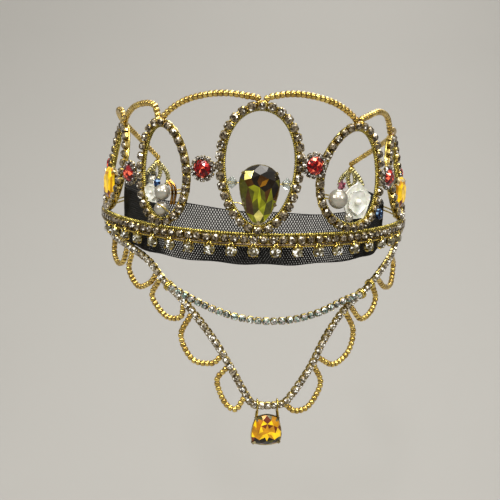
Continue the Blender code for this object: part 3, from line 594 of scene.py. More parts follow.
def make_painted_glint_group():
    """Painted reflections of cut glass: each facet takes one of four tones by its own lot, from
    painted shade to a painted glint, and the glint facets give their colour again for a painted
    glow.
    """
    inputs = {
        "Deep": ("Color", (0, 0, 0, 1)),
        "Middle": ("Color", (0.3, 0.3, 0.3, 1)),
        "Light": ("Color", (0.7, 0.7, 0.7, 1)),
        "Flash": ("Color", (1, 1, 1, 1)),
        "Deep share": ("Float", 0.35),
        "Middle share": ("Float", 0.70),
        "Light share": ("Float", 0.92),
    }
    outputs = {"Color": "Color", "Flash": "Color"}
    group, add, given, result = open_tree("ShaderNodeTree", "facet_painted_glints", inputs, outputs)
    spark = own(group, "spark")
    colour = given["Deep"]
    for share, tone in zip(GLINT_SHARES, GLINT_TONES[1:]):
        above = add("ShaderNodeMath", {0: spark, 1: given[share]}, operation="GREATER_THAN")
        colour = mix_colour(group, above, colour, given[tone])
    # The glint facets' colour again, for a painted glow
    glint_glow = mix_colour(group, above, (0, 0, 0, 1), given["Flash"])
    fill(group, result, {"Color": colour, "Flash": glint_glow})
    return group


def make_lining_group():
    """Gold-lined glass: bright round the middle of a bead and darkened by painted shade towards its
    ends, where the beads meet, each bead its own.
    """
    inputs = {
        "Bright": ("Color", (1, 1, 1, 1)),
        "Warm": ("Color", (1, 0.5, 0, 1)),
        "Ends": ("Color", (0, 0, 0, 1)),
    }
    group, add, given, result = open_tree(
        "ShaderNodeTree", "gold_lining", inputs, {"Color": "Color"}
    )
    streaks = {0: cloud_of(group, 1400.0, 2.0), 1: own(group, "lot")}
    warm = stretch(group, add("ShaderNodeMath", streaks, operation="MULTIPLY"), 0.12, 0.42)
    colour = mix_colour(group, warm, given["Bright"], given["Warm"])
    fill(group, result, {0: mix_colour(group, own(group, "shade"), colour, given["Ends"])})
    return group


# Tones of the painted facet reflections, from painted shade to a painted glint
GLINT_TONES = ("Deep", "Middle", "Light", "Flash")
GLINT_SHARES = ("Deep share", "Middle share", "Light share")
PATINA = make_patina_group()
PAINTED_GLINTS = make_painted_glint_group()
LINING = make_lining_group()


def make_gilt(name, bright, dark, roughness, grain=900.0, slot="gold_wire"):
    made, tree, shader = start_material(name, slot, bright, 1.0, roughness)
    values = {"Bright": (*bright, 1), "Dark": (*dark, 1), "Grain": grain, "Roughness": roughness}
    patina = use_group(tree, PATINA, values)
    relief = {"Height": patina["Height"], "Strength": 0.15, "Distance": 0.0001}
    bump = put(tree, "ShaderNodeBump", relief)
    worn = {"Base Color": patina["Color"], "Roughness": patina["Roughness"], "Normal": bump}
    fill(tree, shader, worn)
    return made


def make_glint_painted_stone(name, tones, shares=(0.35, 0.7, 0.92), coat=0.8, slot="clear_stone"):
    """Foiled cut glass with painted reflections. tones are its deep, middle, light and glint
    colours, and the glint facets glow as painted light.
    """
    sockets = {"Coat_Weight": coat, "Coat_Roughness": 0.03, "Emission_Strength": 0.5}
    made, tree, shader = start_material(name, slot, tones[1], 0.35, 0.09, **sockets)
    values = {label: (*tone, 1) for label, tone in zip(GLINT_TONES, tones)}
    values.update(zip(GLINT_SHARES, shares))
    glints = use_group(tree, PAINTED_GLINTS, values)
    fill(tree, shader, {"Base Color": glints["Color"], "Emission Color": glints["Flash"]})
    return made


def make_tint_stone():
    """Foiled coloured glass whose facets carry their own tint, and which glows in that tint as
    painted light.
    """
    sockets = {"Coat_Weight": 0.22, "Coat_Roughness": 0.02, "Specular_IOR_Level": 0.25}
    made, tree, shader = start_material(
        "foiled_stones", "amber_stone", (0.4, 0.3, 0.1), 0.1, 0.07, Emission_Strength=0.3, **sockets
    )
    level = stretch(tree, cloud_of(tree, 260.0, 2.0), 0.3, 0.7, 0.55, 1.3)
    tint = {"Color": own(tree, "tint", "Color"), "Value": level}
    tone = put(tree, "ShaderNodeHueSaturation", tint)
    fill(tree, shader, {"Base Color": tone, "Emission Color": tone})
    return made


def make_bead_glass(name, slot, bright, warm, ends):
    made, tree, shader = start_material(
        name, slot, bright, 0.85, 0.2, Coat_Weight=0.6, Coat_Roughness=0.05
    )
    values = {"Bright": (*bright, 1), "Warm": (*warm, 1), "Ends": (*ends, 1)}
    # ends is the colour of the painted shade at a bead's ends
    fill(tree, shader, {"Base Color": use_group(tree, LINING, values)["Color"]})
    return made


def make_pearl_material():
    sockets = {"Coat_Weight": 0.7, "Coat_Roughness": 0.08, "Sheen_Weight": 0.15}
    sockets.update({"Subsurface_Weight": 0.15, "Subsurface_Scale": 0.001})
    made, tree, shader = start_material(
        "pearl_lustre", "pearl", (0.40, 0.38, 0.35), 0.55, 0.24, **sockets
    )
    cloud = cloud_of(tree, 220.0, 2.0)
    colour = mix_colour(tree, cloud, (0.64, 0.60, 0.49, 1), (0.46, 0.43, 0.36, 1))
    # Painted shade: the pearl darkens towards its rim as it turns edge-on
    edge = put(tree, "ShaderNodeLayerWeight", {"Blend": 0.42}, "Facing")
    fill(tree, shader, {"Base Color": mix_colour(tree, edge, colour, (0.09, 0.075, 0.045, 1))})
    return made


def make_shell_material():
    sockets = {"Coat_Weight": 0.35, "Subsurface_Weight": 0.05, "Subsurface_Scale": 0.001}
    made, tree, shader = start_material(
        "carved_shell", "shell", (0.8, 0.8, 0.72), 0.0, 0.25, **sockets
    )
    cloud = cloud_of(tree, 420.0, 4.0)
    share = stretch(tree, cloud, 0.35, 0.65)
    colour = mix_colour(tree, share, (0.80, 0.79, 0.66, 1), (0.98, 0.97, 0.92, 1))
    relief = {"Height": cloud, "Strength": 0.5, "Distance": 0.0004}
    fill(tree, shader, {"Base Color": colour, "Normal": put(tree, "ShaderNodeBump", relief)})
    return made


def make_plain(name, slot, base, scale, detail, first, second, **sockets):
    """A finish whose colour drifts softly between two. base is its colour, metal and roughness."""
    made, tree, shader = start_material(name, slot, *base, **sockets)
    colour = mix_colour(tree, cloud_of(tree, scale, detail), (*first, 1), (*second, 1))
    fill(tree, shader, {"Base Color": colour})
    return made


GOLD_CUP = make_gilt("gilt_cups", (0.72, 0.56, 0.18), (0.27, 0.19, 0.05), 0.28)
GOLD_WIRE = make_gilt("gilt_wire", (0.78, 0.61, 0.17), (0.40, 0.28, 0.05), 0.24, 500.0)
GOLD_FRAME = make_gilt("gilt_frame", (0.58, 0.48, 0.12), (0.20, 0.15, 0.025), 0.3)
GOLD_SETTING = make_gilt("gilt_setting", (0.66, 0.56, 0.31), (0.20, 0.15, 0.06), 0.22, 400.0)
DARK_METAL = make_gilt("dark_metal", (0.20, 0.15, 0.09), (0.05, 0.03, 0.02), 0.35, 700.0)
BRONZE = make_gilt(
    "bronze_bead", (0.48, 0.26, 0.06), (0.14, 0.05, 0.010), 0.2, 300.0, "bronze_bead"
)
# Each stone's facets carry painted reflections, from painted shade to a glowing painted glint
CLEAR_STONE = make_glint_painted_stone(
    "clear_stones",
    ((0.035, 0.024, 0.012), (0.17, 0.13, 0.075), (0.36, 0.30, 0.21), (1, 0.97, 0.88)),
    (0.38, 0.78, 0.955),
    coat=0.4,
)
BROW_STONE = make_glint_painted_stone(
    "brow_stones",
    ((0.06, 0.042, 0.02), (0.23, 0.18, 0.11), (0.54, 0.48, 0.36), (1, 1, 0.95)),
    (0.32, 0.64, 0.88),
)
HALO_STONE = make_glint_painted_stone(
    "halo_stones", ((0.02, 0.014, 0.01), (0.11, 0.085, 0.065), (0.40, 0.35, 0.28), (1, 1, 0.96))
)
CRYSTAL_STONE = make_glint_painted_stone(
    "round_crystals",
    ((0.06, 0.045, 0.018), (0.19, 0.16, 0.075), (0.44, 0.41, 0.30), (1, 1, 0.96)),
    (0.38, 0.74, 0.90),
)
TINTED_STONE = make_glint_painted_stone(
    "tinted_stones",
    ((0.06, 0.06, 0.05), (0.20, 0.30, 0.25), (0.56, 0.48, 0.46), (0.85, 1, 0.92)),
    slot="tinted_stone",
)
RED_STONE = make_glint_painted_stone(
    "red_stones",
    ((0.07, 0.0008, 0.002), (0.27, 0.003, 0.006), (0.52, 0.012, 0.008), (0.95, 0.16, 0.08)),
    coat=0.25,
    slot="red_stone",
)
PINK_STONE = make_glint_painted_stone(
    "burgundy_stone",
    ((0.08, 0.008, 0.02), (0.30, 0.05, 0.09), (0.60, 0.22, 0.28), (1, 0.7, 0.75)),
    slot="pink_stone",
)
BLUE_STONE = make_glint_painted_stone(
    "dark_blue_stones",
    ((0.002, 0.004, 0.015), (0.004, 0.020, 0.075), (0.012, 0.055, 0.17), (0.25, 0.42, 0.65)),
    coat=0.2,
    slot="blue_stone",
)
TINT_STONE = make_tint_stone()
# The last colour of each bead glass is painted shade at the bead ends
ARCH_GLASS = make_bead_glass(
    "gold_lined_beads", "gold_beads", (0.84, 0.61, 0.15), (0.50, 0.32, 0.05), (0.11, 0.045, 0.008)
)
LEAF_GLASS = make_bead_glass(
    "olive_lined_beads", "gold_wire", (0.60, 0.53, 0.24), (0.38, 0.33, 0.11), (0.12, 0.10, 0.03)
)
PEARL = make_pearl_material()
SHELL = make_shell_material()
CLEAR_GLASS = make_plain(
    "clear_glass",
    "clear_stone",
    ((0.80, 0.86, 0.82), 0.0, 0.04),
    500.0,
    2.0,
    (0.80, 0.86, 0.82),
    (0.56, 0.602, 0.574),
    Transmission_Weight=0.92,
    IOR=1.5,
)
NET = make_plain(
    "black_nylon_net",
    "black_net",
    ((0.01, 0.01, 0.01), 0.0, 0.6),
    90.0,
    3.0,
    (0.003, 0.003, 0.003),
    (0.016, 0.015, 0.013),
    Specular_IOR_Level=0.3,
)


# Elements that the paths repeat


def to_data(name, mesh, matrix, flat, sharp=40.0):
    """A mesh in metres from a bmesh in millimetres, moved by a matrix."""
    bmesh.ops.recalc_face_normals(mesh, faces=mesh.faces)
    data = bpy.data.meshes.new(name)
    mesh.to_mesh(data)
    mesh.free()
    data.transform(Matrix.Scale(MM, 4) @ matrix)
    if flat:
        data.shade_flat()
    else:
        data.shade_smooth()
        data.set_sharp_from_angle(angle=radians(sharp))
    return data


def keep_element(name, mesh, flat=False, sharp=40.0):
    """Stores a bmesh as an element for Geometry Nodes."""
    made = bpy.data.objects.new(name, to_data(name, mesh, Matrix.Identity(4), flat, sharp))
    shelf.objects.link(made)
    return made


def skin(mesh, rings):
    """Faces from ring to ring, and over both ends."""
    count = len(rings[0])
    for low, high in zip(rings, rings[1:]):
        for k in range(count):
            m = (k + 1) % count
            mesh.faces.new((low[k], low[m], high[m], high[k]))
    mesh.faces.new(rings[0][::-1])
    mesh.faces.new(rings[-1])


def stack(mesh, outline, levels):
    """Skins one outline at each level's (share, height)."""
    skin(mesh, [[mesh.verts.new((x * s, y * s, z)) for x, y in outline] for s, z in levels])


def outline_of(edge_at, sides):
    return [edge_at(2 * pi * k / sides) for k in range(sides)]


def round_outline(radius, sides, start=0.0):
    turns = [2 * pi * (k + start) / sides for k in range(sides)]
    return [(radius * cos(t), radius * sin(t)) for t in turns]


def cut_square(x, y, corner):
    """The outline of a square with cut corners, from the right side round."""
    low, side = corner - y, corner - x
    right = [(x, low), (x, -low), (-side, y)]
    left = [(side, y), (-x, -low), (-x, low)]
    return [*right, *left, (side, -y), (-side, -y)]


def add_brilliant(mesh, edge_at, sides, levels):
    """A brilliant crown with star, kite and girdle facets, over a plain foot.

    edge_at(turn) is the stone's edge there. levels are the heights of its table, its middle, its
    girdle and its foot. It returns faces by kind.
    """

    def ring(share, level, count, offset=0.0):
        turns = [(k + offset) * 2 * pi / count for k in range(count)]
        edges = [edge_at(turn) for turn in turns]
        return [mesh.verts.new((x * share, y * share, level)) for x, y in edges]

    table_level, middle_level, girdle_level, foot_level = levels
    table = ring(0.58, table_level, sides)
    middle = ring(0.80, middle_level, sides, 0.5)
    girdle = ring(1.0, girdle_level, 2 * sides)
    foot = ring(0.97, foot_level, 2 * sides)
    kinds = {"star": [], "kite": [], "girdle": [], "inner": [], "outer": []}
    for k in range(sides):
        m = (k + 1) % sides
        g, h, i = girdle[2 * k], girdle[2 * k + 1], girdle[(2 * k + 2) % (2 * sides)]
        kinds["star"].append(mesh.faces.new((table[k], middle[k], table[m])))
        kinds["kite"].append(mesh.faces.new((table[k], middle[k - 1], g, middle[k])))
        kinds["girdle"].append(mesh.faces.new((middle[k], g, h)))
        kinds["girdle"].append(mesh.faces.new((middle[k], h, i)))
    for k in range(2 * sides):
        m = (k + 1) % (2 * sides)
        mesh.faces.new((girdle[k], foot[k], foot[m], girdle[m]))
    mesh.faces.new(foot)
    heart = mesh.verts.new((0, 0, table_level))
    inner = ring(0.30, table_level, sides, 0.5)
    for k in range(sides):
        m = (k + 1) % sides
        kinds["inner"].append(mesh.faces.new((heart, inner[k - 1], table[k], inner[k])))
        kinds["outer"].append(mesh.faces.new((inner[k], table[k], table[m])))
    return kinds


def square_edge(radius, power):
    """The edge of a round stone at power 2, and of a squarer one above it."""

    def edge(turn):
        reach = radius / (abs(cos(turn)) ** power + abs(sin(turn)) ** power) ** (1 / power)
        return (reach * cos(turn), reach * sin(turn))

    return edge


def small_stone(name, radius, sides, levels, power=2.0):
    mesh = bmesh.new()
    add_brilliant(mesh, square_edge(radius, power), sides, levels)
    return keep_element(name, mesh, flat=True)


def square_cup(name, half, foot, rim, prong):
    """A square cup with a claw at each corner."""
    mesh = bmesh.new()
    walls = ((0.72, foot), (0.96, foot + 0.35), (1.0, rim - 0.15), (0.95, rim))
    hollow = ((0.86, rim - 0.05), (0.7912, rim - 0.5))
    stack(mesh, cut_square(half, half, half * 0.42), walls + hollow)
    for x, y in round_outline(1, 4, 0.5):
        way = Vector((x, y, 0))
        side = Vector((-y, x, 0)) * half * 0.14
        steps = (
            # share of the half width, height, width share
            (1.12, rim - 0.7, 1.0),
            (1.12 * 0.97, rim + 0.25, 0.9),
            (1.12 * 0.74, rim + prong, 0.6),
        )
        rings = []
        for share, level, width in steps:
            outer = way * half * share + UP * level
            inner = outer - (UP if level >= rim else way) * 0.22
            edge = side * width
            corners = (outer - edge, outer + edge, inner + edge, inner - edge)
            rings.append([mesh.verts.new(corner) for corner in corners])
        skin(mesh, rings)
    return keep_element(name, mesh, sharp=35)


def claw_cup(name, radius, claws):
    """A round claw setting with open claws."""
    mesh = bmesh.new()
    wall = ((0.5, -1.5), (0.86, -0.9), (1.0, 0.2), (0.92, 0.35), (0.86, 0.0), (0.5, -1.1))
    stack(mesh, round_outline(radius, 16), wall)
    for x, y in round_outline(radius, claws, 0.5):
        add_claw(mesh, x, y, 0.0, 1.5, 0.8)
    return keep_element(name, mesh)


def add_claw(mesh, x, y, foot, top, width):
    """One bent claw that grips a stone's edge at (x, y)."""
    reach = hypot(x, y)
    way = Vector((x, y, 0)) / reach
    side = Vector((-y, x, 0)) / reach * width / 2
    shape = (
        # reach share, height, width share, thickness
        (1.02, foot, 1.0, 0.30),
        (1.06, foot + (top - foot) * 0.55, 1.0, 0.30),
        (0.99, top, 0.95, 0.28),
        (0.82, top + 0.12, 0.7, 0.22),
    )
    rings = []
    for share, level, wide, thick in shape:
        middle = way * reach * share + UP * level
        half = way * thick / 2 + UP * thick / 4
        edge = side * wide
        corners = (-half - edge, half - edge, half + edge, edge - half)
        rings.append([mesh.verts.new(middle + corner) for corner in corners])
    skin(mesh, rings)


def round_bead(name, radius, length, sides=12, ends=0.62):
    """A short round bead along X, its shade attribute rising to both ends, where the bead glass
    paints shade between beads.
    """
    mesh = bmesh.new()
    rings = []
    for step in (-0.5, -0.42, -0.25, 0.0, 0.25, 0.42, 0.5):
        share = 1 - (1 - ends) * abs(2 * step) ** 3
        circle = round_outline(radius * share, sides)
        rings.append([mesh.verts.new((length * step, x, y)) for x, y in circle])
    skin(mesh, rings)
    made = keep_element(name, mesh, sharp=70)
    shade = made.data.attributes.new("shade", "FLOAT", "POINT")
    reach = length / 2 * MM
    values = [min(1.0, abs(v.co.x / reach) ** 4 * 0.95) for v in made.data.vertices]
    shade.data.foreach_set("value", values)
    return made


SETTINGS = {
    # name: its wall as (share of the outline, height), and its claws' foot, top and width
    "rosette": (((1.2, 0.2), (1.06, 0.9), (1.0, 1.9), (0.95, 2.0), (0.93, 0.6)), (1.4, 2.5, 0.5)),
    "pear": (
        ((0.55, -2.0), (0.9, -1.2), (1.02, 0), (1.03, 0.5), (0.98, 0.6), (0.97, -0.4), (0.5, -1.2)),
        (-0.2, 1.3, 1.3),
    ),
    "octagon": (
        ((0.6, -2.4), (0.95, -1.6), (1.04, 0), (1.03, 0.4), (0.98, 0.3), (0.95, -1.0)),
        (-0.4, 1.3, 1.1),
    ),
    "pendant": (
        ((0.6, -2.4), (0.92, -1.5), (1.05, 0), (1.06, 0.7), (1.0, 0.8), (0.96, -0.6)),
        (-0.2, 1.7, 1.2),
    ),
}
# Each cut is a cup and the stone that it holds
LOOP_CUT = (
    square_cup("cup_loop", 1.86, -0.9, 0.95, 0.62),
    small_stone("stone_loop", 1.78, 6, (2.1, 1.7, 1.0, 0.3), 3.0),
)
SMALL_CUT = (
    square_cup("cup_small", 1.36, -0.9, 0.65, 0.5),
    small_stone("stone_small", 1.28, 6, (1.5, 1.2, 0.7, 0.1), 2.8),
)
TINY_CUT = (
    square_cup("cup_tiny", 1.12, -0.6, 0.45, 0.4),
    small_stone("stone_tiny", 1.12, 6, (1.3, 1.0, 0.5, 0.0)),
)
CRYSTAL_CUT = (
    claw_cup("crystal_claws", 2.5, 4),
    small_stone("crystal", 2.35, 8, (2.4, 1.7, 0.6, -0.2)),
)
ARCH_ELEMENT = round_bead("arch_element", ARCH_BEAD, ARCH_PITCH * 0.99, ends=0.74)
SCALLOP_ELEMENT = round_bead("scallop_element", SCALLOP_BEAD, SCALLOP_PITCH * 0.99, ends=0.72)
LEAF_ELEMENT = round_bead("leaf_element", 1.42, 1.75, 10)
WRAP_ELEMENT = round_bead("wrap_element", 0.82, 0.80, 10, 0.66)
ROPE_ELEMENT = round_bead("rope_element", 0.8, 1.15, 10, 0.6)


def set_stones(name, line, cut, material, pitch, seeds, sizes=(1.0, 1.0), replaces=None, **more):
    """A chain of gilt cups with a stone in each."""
    cup, stone = cut
    more["pitch"] = pitch
    set_along(
        name + "_cups", line, cup, GOLD_CUP, seed=seeds[0], size=sizes[0], replaces=replaces, **more
    )
    set_along(name + "_stones", line, stone, material, seed=seeds[1], size=sizes[1], **more)


def place_piece(name, mesh, place, axes, material, seed=1, flat=True, colours=None, **dress):
    """Moves a bmesh in its own millimetres to its place, and gives its faces their lots."""
    turn = Matrix(axes).transposed().to_4x4()
    data = to_data(name, mesh, Matrix.Translation(place) @ turn, flat)
    draw = random.Random(seed)
    spark = data.attributes.new("spark", "FLOAT", "FACE")
    spark.data.foreach_set("value", [draw.random() for _ in data.polygons])
    data.materials.append(material)
    if colours:
        tint = data.attributes.new("tint", "FLOAT_COLOR", "FACE")
        tint.data.foreach_set("color", [x for colour in colours for x in (*colour, 1.0)])
    return show(name, data, material, **dress)


def place_on_ring(name, mesh, spot, material, **settings):
    """Places a piece that faces out of the ring. spot is its angle, height and out."""
    place_piece(name, mesh, ring_point(*spot), frame_at(spot[0]), material, **settings)


def make_setting(name, kind, outline, grips, place, axes, seed, material, **dress):
    """A stone's cup, with a claw at each of the grips."""
    wall, claw = SETTINGS[kind]
    mesh = bmesh.new()
    stack(mesh, outline, wall)
    for x, y in grips:
        add_claw(mesh, x, y, *claw)
    place_piece(name + "_setting", mesh, place, axes, material, seed, False, **dress)


# The base and its crystals


def make_base():
    front, whole = spread(BASE_STONES_END, 160), spread(RING_END, 200)
    line = ring_line(front, BASE_MIDDLE, BASE_CUPS_OUT)
    settings = {"sizes": (1.0, 0.94), "replaces": "base_ring"}
    set_stones("base", line, LOOP_CUT, CLEAR_STONE, BASE_PITCH, (3, 4), **settings)
    ropes = (
        # name, height above the base's middle, out, material, seed
        ("base_rope_top", 2.3, 0.6, GOLD_FRAME, 41),
        ("base_rope_foot", -2.35, 0.6, GOLD_WIRE, 42),
    )
    for name, height, out, material, seed in ropes:
        line = ring_line(front, BASE_MIDDLE + height, out)
        set_along(name, line, ROPE_ELEMENT, material, ROPE_PITCH, seed=seed, wobble=0.14)
    rails = ((whole, 1.5, -1.3), (whole, -0.6, -0.9), (front, -1.5, -1.2))
    wires = (
        # name, radius, material, sides, its lines as (angles, height above the middle, out)
        ("base_seam", 0.34, DARK_METAL, 6, ((front, -1.95, 1.25),)),
        ("base_wires", 0.48, GOLD_WIRE, 8, rails),
    )
    for name, radius, material, sides, rows in wires:
        lines = [[ring_point(a, BASE_MIDDLE + h, out) for a in angles] for angles, h, out in rows]
        wire_along(name, lines, radius, material, sides)


def make_crystals():
    angles = spread(CRYSTAL_STEP * CRYSTAL_LAST, 2 * CRYSTAL_LAST)
    line = ring_line(angles, CRYSTAL_HEIGHT - 0.3, 0.2)
    claws, stone = CRYSTAL_CUT
    given = {"count": len(angles)}
    set_along("crystal_claws", line, claws, GOLD_WIRE, seed=5, replaces="crystal_row", **given)
    set_along("crystal_stones", line, stone, CRYSTAL_STONE, seed=6, wobble=0.12, **given)
    ties = []
    for angle in angles:
        for side in (-1, 1):
            low = ring_point(angle + side * 0.75, CRYSTAL_HEIGHT + 1.6, 1.9)
            top = ring_point(angle + side * 0.35, BASE_MIDDLE - 1.7, 1.5)
            ties.append([low, low.lerp(top, 0.5) + ring_normal(angle) * 0.35, top])
    wire_along("crystal_ties", ties, CRYSTAL_TIE_RADIUS, GOLD_WIRE, 6)


# The loops


def loop_line(name, steps=160):
    angle, width, top, egg, tip, lean = LOOPS[name]
    half_height = (top - LOOP_FOOT - LOOP_WIDTH) / 2
    half_width = (width - LOOP_WIDTH) / 2
    line = []
    for k in range(steps):
        turn = 2 * pi * k / steps
        rise = 1 - cos(turn)
        height = LOOP_FOOT + LOOP_WIDTH / 2 + half_height * rise
        along = half_width * sin(turn) * (1 - egg * cos(turn)) + lean * (rise / 2) ** 2
        there = angle + degrees_for(along / (1 - RING_LEAN * height), angle)
        line.append((ring_point(there, height, -tip * (height / top) ** 1.5), ring_normal(there)))
    return line


def loop_top(name):
    """The angle, height and out of a loop's top."""
    angle, _, top, _, tip, lean = LOOPS[name]
    return angle + degrees_for(lean, angle), top, -tip


def make_loop(name, seed):
    line = loop_line(name)
    settings = {"replaces": name, "closed": True}
    row = shift(line, LOOP_CUPS_SIDE)
    set_stones(name, row, LOOP_CUT, CLEAR_STONE, LOOP_PITCH, (seed, seed), **settings)
    settings = {"closed": True, "seed": seed, "wobble": 0.1}
    wrap = shift(line, *LOOP_WRAP_SHIFT)
    set_along(name + "_wrap", wrap, WRAP_ELEMENT, GOLD_FRAME, WRAP_PITCH, **settings)
    rails = [points_of(shift(line, *place)) for place in LOOP_WIRE_SHIFTS]
    wire_along(name + "_wires", rails, LOOP_WIRE_RADIUS, GOLD_WIRE, closed=True)


# The rosettes


def make_rosette(name, seed):
    angle, height, out_by = ROSETTES[name]
    axes = frame_at(angle)
    across, up, out = axes
    place = ring_point(angle, height, out_by)
    spokes = [across * x + up * y for x, y in round_outline(HALO_RADIUS, 24)]
    circle = [(place + spoke + out * HALO_OUT, out) for spoke in spokes]
    settings = {"count": HALO_COUNT, "closed": True, "seed": seed}
    cup, stone = TINY_CUT
    set_along(name + "_halo", circle, stone, HALO_STONE, **settings)
    set_along(name + "_cups", circle, cup, GOLD_SETTING, **settings)
    mesh = bmesh.new()
    add_brilliant(mesh, square_edge(ROSETTE_STONE_RADIUS, 2.0), 10, (3.6, 3.1, 2.1, 0.2))
    place_piece(name + "_stone", mesh, place, axes, RED_STONE, seed, replaces=name)
    outline, grips = round_outline(3.8, 24), round_outline(3.7, 4, 0.5)
    make_setting(name, "rosette", outline, grips, place, axes, seed, DARK_METAL)


# The pear stone and its beads

NEARLY_BLACK = (0.010, 0.007, 0.004)
DARK_BROWN = (0.05, 0.02, 0.004)
AMBER_BROWN = (0.20, 0.085, 0.005)
OLIVE = (0.17, 0.175, 0.007)
LIME = (0.28, 0.30, 0.010)
DARK_OLIVE = (0.065, 0.062, 0.006)
ORANGE_AMBER = (0.36, 0.13, 0.006)
GLINT_PALE_GOLD = (0.80, 0.70, 0.18)
PEAR_FACETS = (
    # heart, edge and crown colours, from the right side round, an eighth of a turn each; the olive
    # and brown are the stone's own, its dark and bright facets painted shade and painted
    # reflections
    (NEARLY_BLACK, NEARLY_BLACK, (DARK_BROWN, NEARLY_BLACK, DARK_OLIVE)),
    (AMBER_BROWN, DARK_BROWN, (NEARLY_BLACK, NEARLY_BLACK, AMBER_BROWN)),
    (DARK_BROWN, NEARLY_BLACK, (NEARLY_BLACK, DARK_BROWN, NEARLY_BLACK)),
    (NEARLY_BLACK, DARK_BROWN, (AMBER_BROWN, DARK_BROWN, NEARLY_BLACK)),
    (OLIVE, DARK_OLIVE, (DARK_BROWN, NEARLY_BLACK, DARK_OLIVE)),
    (OLIVE, DARK_OLIVE, (DARK_OLIVE, DARK_OLIVE, DARK_BROWN)),
    (LIME, OLIVE, (LIME, OLIVE, DARK_OLIVE)),
    (DARK_OLIVE, DARK_BROWN, (DARK_OLIVE, DARK_BROWN, OLIVE)),
)
GLINT_SHARE = 0.09


def pear_edge(turn):
    """The pear's edge at a turn from its right side."""
    drop = (1 - sin(turn)) / 2
    part = 1 - PEAR_BELOW if sin(turn) > 0 else PEAR_BELOW
    return (PEAR_WIDTH / 2 * cos(turn) * (1 - PEAR_TAPER * drop**2), PEAR_HEIGHT * part * sin(turn))


def make_pear():
    axes = frame_at(PEAR_ANGLE)
    place = ring_point(PEAR_ANGLE, PEAR_FOOT + PEAR_BELOW * PEAR_HEIGHT, PEAR_OUT)
    mesh = bmesh.new()
    kinds = add_brilliant(mesh, pear_edge, 8, (3.6, 2.7, 0.7, -0.6))
    mesh.faces.index_update()
    draw = random.Random(12)
    colours = [DARK_BROWN] * len(mesh.faces)
    for k, (heart, edge, _) in enumerate(PEAR_FACETS):
        colours[kinds["inner"][k].index] = heart
        colours[kinds["outer"][k].index] = edge
    for face in kinds["star"] + kinds["kite"] + kinds["girdle"]:
        middle = face.calc_center_median()
        eighth = round(math.atan2(middle.y, middle.x) / (pi / 4)) % 8
        colours[face.index] = draw.choice(PEAR_FACETS[eighth][2])
        # A few facets take a painted glint of pale gold
        if draw.random() < GLINT_SHARE:
            colours[face.index] = GLINT_PALE_GOLD
    dress = {"colours": colours, "slot": "olive_stone", "replaces": "pear_stone"}
    place_piece("pear_gem", mesh, place, axes, TINT_STONE, 7, **dress)
    grips = [pear_edge(radians(turn)) for turn in (38, 142, -28, 208, 270)]
    edge = outline_of(pear_edge, 32)
    make_setting("pear", "pear", edge, grips, place, axes, 7, GOLD_SETTING)
    make_bicones()


def make_bicones():
    """The clear beads beside the pear, on wires out to the loop."""
    wires = []
    for side in (-1, 1):
        ends = [PEAR_ANGLE + degrees_for(side * along, 0) for along in (8.6, 11, 13, 15.6)]
        wires.append([ring_point(angle, BICONE_HEIGHT, BICONE_OUT) for angle in ends])
    low = [PEAR_ANGLE - degrees_for(along, 0) for along in (6.8, 9.0, 12.6)]
    wires.append([ring_point(angle, 15.4 + 0.22 * k, 0.4) for k, angle in enumerate(low)])
    wire_along("bicone_wires", wires, BICONE_WIRE_RADIUS, GOLD_WIRE, 6)
    for name, side in (("bicone_left", -1), ("bicone_right", 1)):
        bead = bmesh.new()
        rings = []
        for along, radius in BICONE_PROFILE:
            rings.append([bead.verts.new((along, y, z)) for y, z in round_outline(radius, 8)])
        skin(bead, rings)
        spot = (PEAR_ANGLE + degrees_for(side * BICONE_ALONG, 0), BICONE_HEIGHT, BICONE_OUT)
        place_on_ring(name + "_gem", bead, spot, CLEAR_GLASS, replaces=name)


# The octagons

BRIGHT_AMBER = (0.90, 0.56, 0.012)
DEEP_AMBER = (0.50, 0.22, 0.008)
RED_BROWN = (0.13, 0.022, 0.006)
STRAW_HIGHLIGHT = (0.62, 0.52, 0.26)
OCTAGON_STEPS = (
    # share of the outline, height
    (0.97, -0.6),
    (1.0, 0.3),
    (0.88, 1.2),
    (0.74, 1.9),
    (0.56, 2.5),
    (0.30, 2.5),
)
OCTAGON_TONES = (
    # tones of the facets above this height, from the stone's middle: a painted highlight of pale
    # straw at the top and painted shade in red-brown at the foot
    (3.8, (BRIGHT_AMBER, STRAW_HIGHLIGHT, DEEP_AMBER)),
    (-3.5, (BRIGHT_AMBER, BRIGHT_AMBER, DEEP_AMBER)),
    (-99, (RED_BROWN, RED_BROWN, DEEP_AMBER)),
)
CUSHION_TONES = (
    # the same for the pendant
    (5.0, (RED_BROWN, DEEP_AMBER, DARK_OLIVE)),
    (1.6, (DEEP_AMBER, RED_BROWN, ORANGE_AMBER, BRIGHT_AMBER)),
    (-2.6, (BRIGHT_AMBER, BRIGHT_AMBER, BRIGHT_AMBER, DEEP_AMBER)),
    (-99, (NEARLY_BLACK, DARK_OLIVE, RED_BROWN)),
)
OCTAGON_TIES = (
    # height above the stone's middle, share of the loop's half width
    (5.0, 0.97),
    (-4.2, 0.84),
)


def tones_at(face, table):
    height = face.calc_center_median().y
    return next(tones for low, tones in table if height > low)


